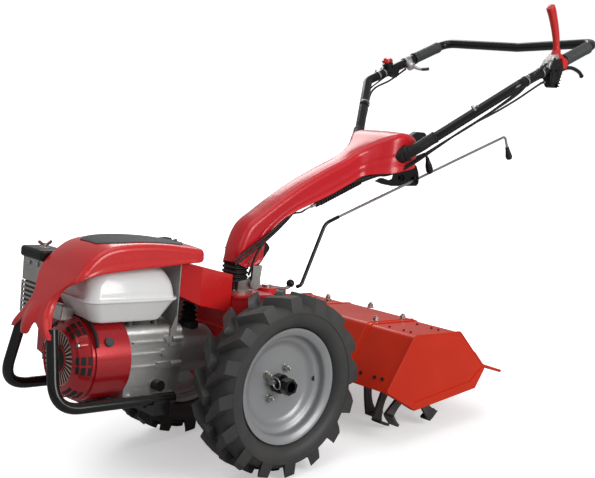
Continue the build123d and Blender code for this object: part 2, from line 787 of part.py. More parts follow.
with BuildPart() as lever_bracket:
    with BuildSketch(side(BAR_HALF + 19)):
        with BuildLine():
            Polyline((-835, bar_w(-835) + 12), (-885, bar_w(-885) + 14), (-885, 842), (-872, 800),
                     (-840, 786), (-828, 800), close=True)
        make_face()
    extrude(amount=38)
    add(bar_rod.part, mode=Mode.SUBTRACT)
    add(safety_lever.part, mode=Mode.SUBTRACT)
keep(lever_bracket, "lever_bracket")

clutch_lever = tube([at(-872, BAR_HALF, 822), at(-920, BAR_HALF, 856), at(-985, BAR_HALF, 862),
                     at(-1018, BAR_HALF, 842)], 6, (24, 24))
with clutch_lever:
    add(lever_bracket.part, mode=Mode.SUBTRACT)
keep(clutch_lever, "clutch_lever")

with BuildPart() as stop_switch:
    base = Plane(origin=bar_point(-800, -1), x_dir=(0, 1, 0), z_dir=at(0, 0, 1) - at(0, 0, 0))
    with BuildSketch(base):
        RectangleRounded(34, 44, 8)
    extrude(amount=20)
    with BuildSketch(base.offset(20)):
        Circle(9)
    extrude(amount=14)
    add(bar_rod.part, mode=Mode.SUBTRACT)
keep(stop_switch, "stop_switch")

with BuildPart() as throttle_lever:
    base = Plane(origin=bar_point(-882, -1), x_dir=(0, 1, 0), z_dir=at(0, 0, 1) - at(0, 0, 0))
    with BuildSketch(base.offset(-18)):
        Circle(19)
    extrude(amount=36)
    with BuildSketch(base.offset(-14)):
        with Locations((40, -12)):
            Rectangle(60, 8, rotation=-25)
    extrude(amount=4)
    add(bar_rod.part, mode=Mode.SUBTRACT)
keep(throttle_lever, "throttle_lever")

conduit = tube([at(-262, 0, 420), at(-430, 0, 492)], 9, 0)
with conduit:
    add(column_cover.part, mode=Mode.SUBTRACT)
keep(conduit, "conduit")

with BuildPart() as release_paddle:
    with BuildSketch(side(16)):
        with BuildLine():
            Polyline((-60, 256), (-80, 248), (-104, 306), (-92, 318), (-68, 318), close=True)
        make_face()
    extrude(amount=32)
    add(column_cover.part, mode=Mode.SUBTRACT)
keep(release_paddle, "release_paddle")

with BuildPart() as head_lever:
    with BuildSketch(side(10)):
        with BuildLine():
            Polyline((-560, 600), (-640, 634), (-668, 636), (-664, 620), (-580, 590), close=True)
        make_face()
    extrude(amount=20)
    add(column_cover.part, mode=Mode.SUBTRACT)
keep(head_lever, "head_lever")

with BuildPart() as shift_lever:
    with BuildSketch(deck(199)):
        with Locations((-110, 0)):
            Circle(14)
        with Locations((-145, 0)):
            Rectangle(70, 16)
    extrude(amount=5)
keep(shift_lever, "shift_lever")

# Tiller
HEX = ((-289, -33), (-377, 110), (-561, 110), (-684, 0), (-649, -54), (-403, -91))
SHELL = HEX[:4]


with BuildPart() as drive_case:
    with BuildSketch(side(0)):
        with Locations((ROTOR_U, ROTOR_W)):
            Circle(50)
        with BuildLine():
            Polyline((ROTOR_U - 20, ROTOR_W + 46), (-240, 52), (-214, 52), (-214, -12), (-240, -12),
                     (ROTOR_U + 20, ROTOR_W - 46), close=True)
        make_face()
    extrude(amount=CASE_HALF, both=True)
    with BuildSketch(side(0)):
        with Locations((ROTOR_U, ROTOR_W)):
            Circle(18)
    extrude(amount=CASE_HALF, both=True, mode=Mode.SUBTRACT)
    with BuildSketch(across(-214)):
        with Locations((0, 20)):
            Circle(58)
    extrude(amount=14)
keep(drive_case, "drive_case")

with BuildPart() as pto_housing:
    with BuildSketch(across(-200)):
        with Locations((0, 20)):
            Circle(58)
    extrude(amount=12)
    with BuildSketch(across(-188)):
        with Locations((0, 20)):
            Circle(46)
    extrude(amount=GEARBOX_REAR_U + 188)
keep(pto_housing, "pto_housing")


def folded(hand_side):
    """Closed section of a sheet folded along the shell's outline, inside or outside it."""
    fold = FilletPolyline(*SHELL, radius=FOLD_R)
    offset(fold, amount=SHEET, side=hand_side)
    return fold


with BuildPart() as tiller_centre:
    with BuildSketch(side(CENTRE_HALF)):
        with BuildLine():
            folded(Side.RIGHT)
        make_face()
    extrude(amount=2 * CENTRE_HALF)
    add(drive_case.part, mode=Mode.SUBTRACT)
keep(tiller_centre, "tiller_centre")


def tiller_side(hand):
    """Side extension: folded sheet, six-sided end plate, and the plate's folded lower lip."""
    low, high = sorted((hand * (CENTRE_HALF - 15), hand * TILLER_HALF))
    with BuildPart() as piece:
        with BuildSketch(side(high)):
            with BuildLine():
                folded(Side.LEFT)
            make_face()
        extrude(amount=high - low)
        with BuildSketch(side(hand * TILLER_HALF)):
            with BuildLine():
                top = FilletPolyline(*SHELL, radius=FOLD_R)
                Polyline(top @ 1, *HEX[4:], top @ 0)
            make_face()
        extrude(amount=hand * SHEET)
        with BuildSketch(side(hand * TILLER_HALF)):
            with BuildLine():
                lip = Polyline(HEX[3], *HEX[4:], HEX[0])
                offset(lip, amount=SHEET, side=Side.LEFT)
            make_face()
        extrude(amount=hand * LIP)
    return piece


tiller_sides = (tiller_side(1), tiller_side(-1))
keep(tiller_sides[0], "tiller_side_left")
keep(tiller_sides[1], "tiller_side_right")

FLAP_HINGE = (-620, 77)
FLAP_LUGS = (-258, 0, 258)
with BuildPart() as flap_pin:
    with BuildSketch(side(0)):
        with Locations(FLAP_HINGE):
            Circle(3)
    extrude(amount=262, both=True)
    for y in FLAP_LUGS:
        with BuildSketch(side(y)):
            with Locations(FLAP_HINGE):
                Circle(5.5)
            with BuildLine():
                Polyline((-600, 75.1), (-624, 53.7), (-626, 79), (-615, 82), close=True)
            make_face()
        extrude(amount=4, both=True)
    add(tiller_centre.part, mode=Mode.SUBTRACT)
    for piece in tiller_sides:
        add(piece.part, mode=Mode.SUBTRACT)
keep(flap_pin, "flap_pin")

with BuildPart() as flap:
    for y in (-130, 130):
        with BuildSketch(side(y)):
            with BuildLine():
                upper = Line((-617.7, 70.7), (-689.7, 6.3))
                offset(upper, amount=SHEET, side=Side.RIGHT)
            make_face()
            with Locations(FLAP_HINGE):
                Circle(6.5)
        extrude(amount=118, both=True)
    with BuildSketch(side(0)):
        with BuildLine():
            skirt = FilletPolyline((-645.7, 45.7), (-689.7, 6.3), (-777, -18), radius=20)
            offset(skirt, amount=SHEET, side=Side.RIGHT)
        make_face()
    extrude(amount=290, both=True)
    with BuildSketch(side(0)):
        with Locations(FLAP_HINGE):
            Circle(3.3)
    extrude(amount=262, both=True, mode=Mode.SUBTRACT)
keep(flap, "flap")

# Tine rotor
with BuildPart() as rotor_shaft:
    with BuildSketch(Plane(origin=ROTOR, x_dir=(1, 0, 0), z_dir=(0, 1, 0))):
        Circle(17.5)
    extrude(amount=272, both=True)
keep(rotor_shaft, "rotor_shaft")


def rim_point(radius, angle):
    """Point of a tine's own plane at a radius, angle degrees round from its middle line."""
    return (radius * cos(radians(angle)), radius * sin(radians(angle)))


with BuildPart() as tines:
    for hand in (1, -1):
        for k, y in enumerate((62, 150, 238)):
            disc = Plane(origin=ROTOR + Vector(0, hand * y, 0), x_dir=(1, 0, 0), z_dir=(0, hand, 0))
            with BuildSketch(disc):
                Circle(48)
                Circle(17.5, mode=Mode.SUBTRACT)
            extrude(amount=8)
            for i in range(4):
                turn = -90 + 90 * i + 30 * k
                arm = Plane(origin=disc.origin, x_dir=(cos(radians(turn)), 0, sin(radians(turn))),
                            z_dir=(0, hand, 0))
                with BuildSketch(arm):
                    with BuildLine():
                        lead = ThreePointArc((40, -16), (96, -14), rim_point(TINE_R, TIP_FROM))
                        tip = ThreePointArc(lead @ 1, rim_point(TINE_R, 0), rim_point(TINE_R, TIP_TO))
                        trail = ThreePointArc(tip @ 1, (94, 12), (40, 14))
                        Line(trail @ 1, lead @ 0)
                    make_face()
                extrude(amount=8)
                with BuildSketch(arm if i % 2 else arm.offset(8)):
                    with BuildLine():
                        sole = ThreePointArc(rim_point(TINE_R, TIP_FROM), rim_point(TINE_R, 0),
                                             rim_point(TINE_R, TIP_TO))
                        back = ThreePointArc(rim_point(TINE_R - 7, TIP_TO), rim_point(TINE_R - 7, 0),
                                             rim_point(TINE_R - 7, TIP_FROM))
                        Line(sole @ 1, back @ 0)
                        Line(back @ 1, sole @ 0)
                    make_face()
                extrude(amount=-BLADE if i % 2 else BLADE)
keep(tines, "tines")
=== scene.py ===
"""Finishes, fine pieces and studio of the walking tractor."""
import json
from math import asin, cos, pi, radians, sin, tan

import bmesh
import bpy
from mathutils import Matrix, Vector


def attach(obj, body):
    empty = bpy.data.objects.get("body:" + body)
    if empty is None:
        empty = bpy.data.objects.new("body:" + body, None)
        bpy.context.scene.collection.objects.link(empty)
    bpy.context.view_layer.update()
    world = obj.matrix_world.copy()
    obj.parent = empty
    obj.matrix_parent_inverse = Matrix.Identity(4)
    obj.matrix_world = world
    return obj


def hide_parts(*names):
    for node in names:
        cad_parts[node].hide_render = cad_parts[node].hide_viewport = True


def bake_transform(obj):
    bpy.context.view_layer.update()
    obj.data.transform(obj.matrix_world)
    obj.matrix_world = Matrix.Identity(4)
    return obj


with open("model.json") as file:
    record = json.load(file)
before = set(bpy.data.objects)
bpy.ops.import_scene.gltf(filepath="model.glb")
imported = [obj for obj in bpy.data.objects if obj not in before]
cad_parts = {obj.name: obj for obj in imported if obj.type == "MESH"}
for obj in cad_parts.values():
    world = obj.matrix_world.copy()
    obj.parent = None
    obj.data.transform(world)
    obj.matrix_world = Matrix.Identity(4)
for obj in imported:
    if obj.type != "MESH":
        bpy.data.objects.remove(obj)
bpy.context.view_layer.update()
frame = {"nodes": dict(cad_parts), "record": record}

# Every piece is drawn in the chassis' own pitched axes, in millimetres: u forward, y left and
# w up, from the middle of the axle. CHASSIS brings it into the frame's metres.
PITCH = radians(7)
AXLE = Vector((0.314, 0, 0.2275))
CHASSIS = Matrix.Translation(AXLE) @ Matrix.Rotation(-PITCH, 4, "Y") @ Matrix.Scale(0.001, 4)
TRACK_HALF = 205
CRANK = Vector((0, -12, 50))
BAR_HALF = 288
SIDES = ((1, "left"), (-1, "right"))


def colour(r, g, b):
    """Linear colour of the usual 0 to 255 values."""
    def line(c):
        c /= 255
        return c / 12.92 if c <= 0.04045 else ((c + 0.055) / 1.055) ** 2.4
    return (line(r), line(g), line(b), 1)


# Shared effects

def group(name, inputs, outputs):
    """Empty shader group with named sockets."""
    tree = bpy.data.node_groups.new(name, "ShaderNodeTree")
    for label, kind, value in inputs:
        socket = tree.interface.new_socket(label, in_out="INPUT", socket_type=kind)
        socket.default_value = value
    for label, kind in outputs:
        tree.interface.new_socket(label, in_out="OUTPUT", socket_type=kind)
    return tree, tree.nodes.new("NodeGroupInput"), tree.nodes.new("NodeGroupOutput")


def noise(tree, scale, detail, rough=0.55):
    """Noise on object coordinates, its scale taken from a socket."""
    place = tree.nodes.new("ShaderNodeTexCoord")
    node = tree.nodes.new("ShaderNodeTexNoise")
    node.inputs["Detail"].default_value = detail
    node.inputs["Roughness"].default_value = rough
    tree.links.new(place.outputs["Object"], node.inputs["Vector"])
    tree.links.new(scale, node.inputs["Scale"])
    return node


def stretch(tree, value, low, high, to_low, to_high):
    """Value brought from one range to another, held at its ends."""
    node = tree.nodes.new("ShaderNodeMapRange")
    tree.links.new(value, node.inputs["Value"])
    for label, number in (("From Min", low), ("From Max", high), ("To Min", to_low),
                          ("To Max", to_high)):
        if isinstance(number, (int, float)):
            node.inputs[label].default_value = number
        else:
            tree.links.new(number, node.inputs[label])
    return node.outputs["Result"]


def mixed(tree, share, a, b):
    """Colour between a and b."""
    node = tree.nodes.new("ShaderNodeMix")
    node.data_type = "RGBA"
    tree.links.new(share, node.inputs["Factor"])
    for label, value in (("A", a), ("B", b)):
        socket = next(s for s in node.inputs if s.name == label and s.type == "RGBA")
        if isinstance(value, tuple):
            socket.default_value = value
        else:
            tree.links.new(value, socket)
    return next(s for s in node.outputs if s.type == "RGBA")


def combined(tree, operation, a, b):
    """Two values added or multiplied."""
    node = tree.nodes.new("ShaderNodeMath")
    node.operation = operation
    tree.links.new(a, node.inputs[0])
    tree.links.new(b, node.inputs[1])
    return node.outputs[0]


def make_paint_drift():
    """Slow drift of a colour between its own and a second shade."""
    tree, given, out = group("paint_drift", (("Colour", "NodeSocketColor", (0.5, 0.5, 0.5, 1)),
                                             ("Second", "NodeSocketColor", (0.4, 0.4, 0.4, 1)),
                                             ("Scale", "NodeSocketFloat", 9.0)),
                             (("Colour", "NodeSocketColor"), ("Mask", "NodeSocketFloat")))
    cloud = noise(tree, given.outputs["Scale"], 3.0)
    share = stretch(tree, cloud.outputs["Fac"], 0.35, 0.68, 0.0, 1.0)
    tree.links.new(mixed(tree, share, given.outputs["Colour"], given.outputs["Second"]),
                   out.inputs["Colour"])
    tree.links.new(share, out.inputs["Mask"])
    return tree


def make_grain():
    """Fine height of a cast, moulded or sprayed surface, with a coarser wave under it."""
    tree, given, out = group("grain", (("Scale", "NodeSocketFloat", 900.0),
                                       ("Wave", "NodeSocketFloat", 30.0),
                                       ("Share", "NodeSocketFloat", 0.3)),
                             (("Height", "NodeSocketFloat"),))
    fine = noise(tree, given.outputs["Scale"], 2.0)
    wave = noise(tree, given.outputs["Wave"], 2.0)
    scaled = combined(tree, "MULTIPLY", wave.outputs["Fac"], given.outputs["Share"])
    tree.links.new(combined(tree, "ADD", fine.outputs["Fac"], scaled), out.inputs["Height"])
    return tree


def make_dust():
    """Mask of dust: more on faces that look up, broken by noise."""
    tree, given, out = group("dust", (("Amount", "NodeSocketFloat", 0.3),
                                      ("Scale", "NodeSocketFloat", 25.0)),
                             (("Mask", "NodeSocketFloat"),))
    facing = tree.nodes.new("ShaderNodeNewGeometry")
    split = tree.nodes.new("ShaderNodeSeparateXYZ")
    tree.links.new(facing.outputs["Normal"], split.inputs["Vector"])
    up = stretch(tree, split.outputs["Z"], -0.2, 1.0, 0.15, 1.0)
    cloud = noise(tree, given.outputs["Scale"], 6.0, 0.65)
    broken = stretch(tree, cloud.outputs["Fac"], 0.42, 0.75, 0.0, 1.0)
    film = combined(tree, "MULTIPLY", up, broken)
    tree.links.new(combined(tree, "MULTIPLY", film, given.outputs["Amount"]), out.inputs["Mask"])
    return tree


PAINT_DRIFT = make_paint_drift()
GRAIN = make_grain()
DUST = make_dust()


def place_group(tree, shared, **values):
    """A shared effect placed in a material with its own values."""
    node = tree.nodes.new("ShaderNodeGroup")
    node.node_tree = shared
    for label, value in values.items():
        node.inputs[label].default_value = value
    return node


def finish(name, base, second, rough=(0.3, 0.45), metal=0.0, coat=0.0, drift=9.0, grain=900.0,
           wave=30.0, share=0.3, height=0.0002, dust=0.0, dust_colour=(0.30, 0.27, 0.23, 1),
           specular=0.5):
    """Material: drifting colour, roughness that follows it, grain, and dust on what faces up.

    base and second are its two shades, in the usual 0 to 255 values.
    """
    material = bpy.data.materials.new(name)
    material.use_nodes = True
    tree = material.node_tree
    shader = tree.nodes["Principled BSDF"]
    drifting = place_group(tree, PAINT_DRIFT, Colour=colour(*base), Second=colour(*second),
                           Scale=drift)
    paint = drifting.outputs["Colour"]
    roughness = stretch(tree, drifting.outputs["Mask"], 0.0, 1.0, *rough)
    if dust:
        film = place_group(tree, DUST, Amount=dust)
        paint = mixed(tree, film.outputs["Mask"], paint, dust_colour)
        roughness = stretch(tree, film.outputs["Mask"], 0.0, 1.0, roughness, 0.85)
    tree.links.new(paint, shader.inputs["Base Color"])
    tree.links.new(roughness, shader.inputs["Roughness"])
    fine = place_group(tree, GRAIN, Scale=grain, Wave=wave, Share=share)
    bump = tree.nodes.new("ShaderNodeBump")
    bump.inputs["Distance"].default_value = height
    tree.links.new(fine.outputs["Height"], bump.inputs["Height"])
    tree.links.new(bump.outputs["Normal"], shader.inputs["Normal"])
    shader.inputs["Metallic"].default_value = metal
    shader.inputs["Coat Weight"].default_value = coat
    shader.inputs["Coat Roughness"].default_value = 0.06
    shader.inputs["Specular IOR Level"].default_value = specular
    return material


MATERIALS = {
    "tyre_rubber": finish("tyre_rubber", (54, 54, 54), (64, 63, 62), (0.42, 0.55),
                          grain=1400, wave=60, height=0.00012, dust=0.12,
                          dust_colour=colour(104, 100, 94), specular=0.35),
    "rim_grey": finish("rim_grey", (156, 157, 158), (148, 149, 151), (0.30, 0.38),
                       metal=0.35, grain=1500, height=0.00006),
    "black_steel": finish("black_steel", (14, 14, 15), (20, 20, 21), (0.13, 0.18),
                          grain=700, height=0.00002, specular=0.4),
    "red_casting": finish("red_casting", (206, 40, 42), (196, 34, 36), (0.3, 0.4),
                          coat=0.15, grain=300, wave=60, height=0.0002, specular=0.35),
    "iron_casting": finish("iron_casting", (150, 30, 28), (120, 28, 24), (0.45, 0.6),
                           grain=350, wave=80, height=0.0008, dust=0.3),
    "grey_casting": finish("grey_casting", (176, 176, 176), (150, 148, 146),
                           (0.3, 0.45), metal=0.55, grain=450, wave=70, height=0.0005, dust=0.2),
    "bare_alloy": finish("bare_alloy", (205, 204, 202), (170, 168, 164), (0.3, 0.45),
                         metal=0.85, grain=420, wave=60, height=0.0006),
    "black_rubber": finish("black_rubber", (24, 24, 25), (32, 32, 33), (0.42, 0.56),
                           grain=900, height=0.0001, dust=0.06, specular=0.3),
    "shroud_red": finish("shroud_red", (186, 20, 32), (170, 22, 30), (0.24, 0.32),
                         metal=0.35, coat=0.5, grain=600, wave=15, height=0.00003),
    "tank_silver": finish("tank_silver", (240, 240, 239), (234, 234, 234),
                          (0.2, 0.28), coat=0.6, grain=500, wave=12, height=0.0001),
    "black_plastic": finish("black_plastic", (22, 22, 23), (30, 30, 31),
                            (0.36, 0.46), grain=1200, height=0.0001, specular=0.3),
    "red_plastic": finish("red_plastic", (212, 34, 34), (204, 28, 30),
                          (0.26, 0.34), coat=0.35, grain=900, wave=14, share=0.6,
                          height=0.00001, drift=4.0, specular=0.4),
    "column_red": finish("column_red", (204, 22, 34), (196, 18, 30), (0.28, 0.34),
                         coat=0.25, grain=1500, wave=60, share=0.2, height=0.000004, drift=4.0,
                         specular=0.4),
    "pad_grey": finish("pad_grey", (74, 75, 76), (84, 85, 85), (0.6, 0.7),
                       grain=1700, wave=400, share=0.8, height=0.0004, specular=0.2),
    "zinc_plate": finish("zinc_plate", (190, 190, 186), (168, 166, 158),
                         (0.22, 0.36), metal=0.95, grain=500, height=0.0001),
    "tiller_red": finish("tiller_red", (208, 48, 18), (196, 42, 16), (0.3, 0.4),
                         grain=380, wave=22, share=0.8, height=0.00004, drift=5.0,
                         specular=0.22),
    "dark_steel": finish("dark_steel", (84, 84, 86), (108, 104, 100), (0.35, 0.55),
                         metal=0.8, grain=380, wave=50, height=0.0005),
    "slot_cream": finish("slot_cream", (232, 204, 186), (220, 190, 172), (0.4, 0.5)),
    "grip_grey": finish("grip_grey", (58, 60, 61), (66, 68, 69), (0.5, 0.6),
                        grain=1500, height=0.0002),
    "lever_red": finish("lever_red", (206, 30, 26), (190, 24, 22), (0.28, 0.36),
                        coat=0.4, grain=900, height=0.0001),
}

for entry in frame["record"]["subparts"]:
    node = frame["nodes"][entry["node"]]
    node.data.materials.clear()
    node.data.materials.append(MATERIALS[entry["material_slot"]])


# Ways of making a piece

def done(name, bm, body, slot, replaces=(), angle=32, bevel=0.0, segments=2, levels=0, wall=0.0,
         between=None):
    """Finished piece: brought into the frame, smoothed by angle and painted.

    It rides on a body; where between is given, it is baked where it stands and rides on no body,
    and the bodies and points that between gives are not used.
    """
    bmesh.ops.remove_doubles(bm, verts=bm.verts, dist=0.01)
    bmesh.ops.recalc_face_normals(bm, faces=bm.faces)
    bmesh.ops.transform(bm, matrix=CHASSIS, verts=bm.verts)
    mesh = bpy.data.meshes.new(name)
    bm.to_mesh(mesh)
    bm.free()
    for face in mesh.polygons:
        face.use_smooth = True
    mesh.set_sharp_from_angle(angle=radians(angle))
    mesh.materials.append(MATERIALS[slot])
    piece = bpy.data.objects.new(name, mesh)
    bpy.context.collection.objects.link(piece)
    if wall:
        shell = piece.modifiers.new("wall", "SOLIDIFY")
        shell.thickness = wall / 1000
        shell.offset = -1
    if bevel:
        edge = piece.modifiers.new("edge", "BEVEL")
        edge.width = bevel / 1000
        edge.segments = segments
        edge.limit_method = "ANGLE"
        edge.angle_limit = radians(angle)
        edge.harden_normals = True
    if levels:
        soft = piece.modifiers.new("soft", "SUBSURF")
        soft.levels = levels
        soft.render_levels = levels
    if between:
        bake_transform(piece)
    else:
        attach(piece, body)
    if replaces:
        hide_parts(*replaces)


def pulled(bm, points, vector):
    """Flat outline pulled along a vector into a solid."""
    face = bm.faces.new([bm.verts.new(p) for p in points])
    grown = bmesh.ops.extrude_face_region(bm, geom=[face], use_keep_orig=True)
    moved = [item for item in grown["geom"] if isinstance(item, bmesh.types.BMVert)]
    bmesh.ops.translate(bm, verts=moved, vec=vector)


def turned(bm, profile, centre, axis, steps=64):
    """Profile of (along, radius) pairs turned about an axis through centre."""
    axis = Vector(axis).normalized()
    across = axis.orthogonal().normalized()
    centre = Vector(centre)
    verts = [bm.verts.new(centre + axis * a + across * max(r, 0.001)) for a, r in profile]
    edges = [bm.edges.new(pair) for pair in zip(verts, verts[1:])]
    bmesh.ops.spin(bm, geom=verts + edges, cent=centre, axis=axis, dvec=(0, 0, 0),
                   angle=2 * pi, steps=steps, use_merge=True, use_duplicate=False)


def disc(start, end, radius, bore=0):
    """Profile of a plain disc, or of a sleeve round a bore."""
    return ((start, bore), (start, radius), (end, radius), (end, bore))


def mapped(bm, shape, along, around):
    """Grid whose points follow shape(s, t), both from 0 to 1."""
    made = bmesh.ops.create_grid(bm, x_segments=along, y_segments=around, size=1)
    for vert in made["verts"]:
        vert.co = shape((vert.co.x + 1) / 2, (vert.co.y + 1) / 2)


def closed(bm):
    """Grid joined along its seam, with its ends filled."""
    bmesh.ops.remove_doubles(bm, verts=bm.verts, dist=0.05)
    bmesh.ops.holes_fill(bm, edges=[e for e in bm.edges if e.is_boundary], sides=0)


def run(stations, s):
    """Smooth value along a list of stations at s from 0 to 1."""
    last = len(stations) - 1
    at = min(max(s * last, 0), last - 1e-6)
    i = int(at)
    f = at - i
    p = [stations[min(max(i + k, 0), last)] for k in (-1, 0, 1, 2)]
    return [0.5 * (2 * b + (c - a) * f + (2 * a - 5 * b + 4 * c - d) * f * f
                   + (3 * b - a - 3 * c + d) * f ** 3) for a, b, c, d in zip(*p)]


def rounded(points, radius, steps=8):
    """Corners of a path rounded to arcs."""
    points = [Vector(p) for p in points]
    path = [points[0]]
    for before, corner, after in zip(points, points[1:], points[2:]):
        a = (before - corner).normalized()
        b = (after - corner).normalized()
        half = a.angle(b) / 2
        cut = min(radius / tan(half), (before - corner).length * 0.49,
                  (after - corner).length * 0.49)
        start, end = corner + a * cut, corner + b * cut
        for k in range(steps + 1):
            f = k / steps
            path.append(start * (1 - f) ** 2 + corner * 2 * f * (1 - f) + end * f ** 2)
    return path + [points[-1]]


def bar(bm, points, radius, sides=20):
    """Round bar along a path, its ends closed; its radius is a number or follows a function."""
    points = [Vector(p) for p in points]
    across = (points[1] - points[0]).orthogonal()
    rings = []
    for i, point in enumerate(points):
        ahead = (points[min(i + 1, len(points) - 1)] - points[max(i - 1, 0)]).normalized()
        across = (across - ahead * across.dot(ahead)).normalized()
        up = ahead.cross(across)
        size = radius(i / (len(points) - 1)) if callable(radius) else radius
        rings.append([bm.verts.new(point + (across * cos(2 * pi * k / sides)
                                            + up * sin(2 * pi * k / sides)) * size)
                      for k in range(sides)])
    loops = [[bm.edges.new((a, b)) for a, b in zip(ring, ring[1:] + ring[:1])] for ring in rings]
    for low, high in zip(loops, loops[1:]):
        bmesh.ops.bridge_loops(bm, edges=low + high)
    bm.faces.new(rings[0])
    bm.faces.new(rings[-1])


def hexagon(bm, centre, axis, width, height, start=0.0):
    """Bolt head: hexagonal prism on an axis."""
    axis = Vector(axis).normalized()
    across = axis.orthogonal().normalized()
    up = axis.cross(across)
    radius = width / 2 / cos(pi / 6)
    points = [Vector(centre) + across * radius * cos(start + k * pi / 3)
              + up * radius * sin(start + k * pi / 3) for k in range(6)]
    pulled(bm, points, axis * height)


def plate(bm, points, y, thick):
    """Flat outline of (u, w) pairs from y, thick across the machine."""
    pulled(bm, [(u, y, w) for u, w in points], Vector((0, thick, 0)))


def block(bm, centre, size, turn=0.0):
    """Box by its centre and size, turned nose up about its own cross axis."""
    made = bmesh.ops.create_cube(bm, size=1)
    shape = (Matrix.Translation(Vector(centre)) @ Matrix.Rotation(-radians(turn), 4, "Y")
             @ Matrix.Diagonal((*size, 1)))
    bmesh.ops.transform(bm, matrix=shape, verts=made["verts"])


def smooth(points, steps=40):
    """Points along a soft curve through a list."""
    return [Vector(run(points, k / steps)) for k in range(steps + 1)]


# Tyres

LUGS = 16
TYRE_R = 227.5
LUG_REACH = 38
LUG_TOP_R = (TYRE_R ** 2 - LUG_REACH ** 2) ** 0.5
LUG_TOP = ((19, 2, 0), (38, 2, 0), (7, 39, 0), (-5, 53, -4), (-37, 53, -4), (-25, 38, 0))
LUG_FOOT = ((14, 0, -26), (39.5, 0, -26), (10, 43, -28), (-4, 59, -42), (-39, 59, -42),
            (-30, 40, -28))
CARCASS = ((-28, 128), (-30, 143), (-38, 146), (-47, 151), (-53.5, 160), (-57, 172), (-57.5, 181),
           (-59.5, 182.5), (-59.5, 185.5), (-57, 187), (-51, 194.5), (-39, 201), (-20, 204.5),
           (0, 205.5))


def make_tyre(hand, name):
    """Carcass with a rib line on each sidewall, and two rows of flat-topped chevron bars."""
    bm = bmesh.new()
    centre = Vector((0, hand * TRACK_HALF, 0))
    profile = list(CARCASS) + [(-a, r) for a, r in reversed(CARCASS[:-1])]
    turned(bm, profile, centre, (0, 1, 0), 144)
    pitch = 2 * pi / LUGS
    settle = asin(LUG_REACH / TYRE_R) - pitch / 4
    for flank in (-1, 1):
        for i in range(LUGS):
            turn = pitch * (i + 0.5 - 0.25 * flank) + settle
            out = Vector((sin(turn), 0, cos(turn)))
            along = Vector((cos(turn), 0, -sin(turn)))
            top, foot = [[bm.verts.new(centre + out * (LUG_TOP_R + drop) + along * x
                                       + Vector((0, flank * y, 0))) for x, y, drop in ring]
                         for ring in (LUG_TOP, LUG_FOOT)]
            cap = bm.faces.new(top)
            for k in range(len(top)):
                bm.faces.new((top[k], top[k - 1], foot[k - 1], foot[k]))
            bmesh.ops.bevel(bm, geom=list(cap.edges), offset=2.2, segments=2, profile=0.5,
                            affect="EDGES", material=-1)
    done(f"{name}_tread", bm, f"wheel_{name[5:]}", "tyre_rubber", (name,), angle=28)


# Rims: rolled flange, well and dished disc, as seen from outside
RIM = ((-3, 24), (-3, 60), (-2.5, 88), (-0.5, 95), (5, 102), (10, 106.5), (12.5, 111), (14, 118),
       (17, 121.5), (22, 122.5), (30, 122.5), (34, 124.5), (36, 129), (38.5, 134), (41, 139),
       (41, 142.5), (38, 143.5), (35.5, 140), (34, 131), (32, 127.5), (20, 126.5), (16, 125.5),
       (12, 121), (9, 113), (-9, 113), (-12, 121), (-16, 125.5), (-32, 127), (-35, 137),
       (-36.5, 142), (-39, 142), (-40, 139), (-37, 128), (-33, 123), (-20, 122.5), (-15, 117),
       (-12, 108), (-8, 99), (-7.5, 88), (-7, 60), (-7, 24), (-3, 24))
BOLT_CIRCLE = 43


def make_rim(hand, name):
    """Pressed rim with its valve slot and four plated bolts."""
    body = f"wheel_{name[4:]}"
    bm = bmesh.new()
    centre = Vector((0, hand * TRACK_HALF, 0))
    turned(bm, RIM, centre, (0, hand, 0), 128)
    done(f"{name}_disc", bm, body, "rim_grey", (name,), angle=40)
    bm = bmesh.new()
    for k in range(4):
        turn = radians(33 + 90 * k)
        spot = centre + Vector((BOLT_CIRCLE * cos(turn), hand * -3, BOLT_CIRCLE * sin(turn)))
        turned(bm, ((0, 12), (2.5, 12), (2.5, 0)), spot, (0, hand, 0), 24)
        hexagon(bm, spot + Vector((0, hand * 2.5, 0)), (0, hand, 0), 17, 9, k)
        turned(bm, ((11.5, 5), (18, 5), (19, 4), (19, 0)), spot, (0, hand, 0), 16)
    done(f"{name}_bolts", bm, body, "zinc_plate", angle=30, bevel=0.6)
    bm = bmesh.new()
    valve = centre + Vector((-110, hand * 10.5, 4))
    turned(bm, ((0, 0), (0, 7.5), (1.2, 7), (1.2, 0)), valve, (0.22, hand, 0), 24)
    done(f"{name}_valve_slot", bm, body, "black_rubber", angle=30)


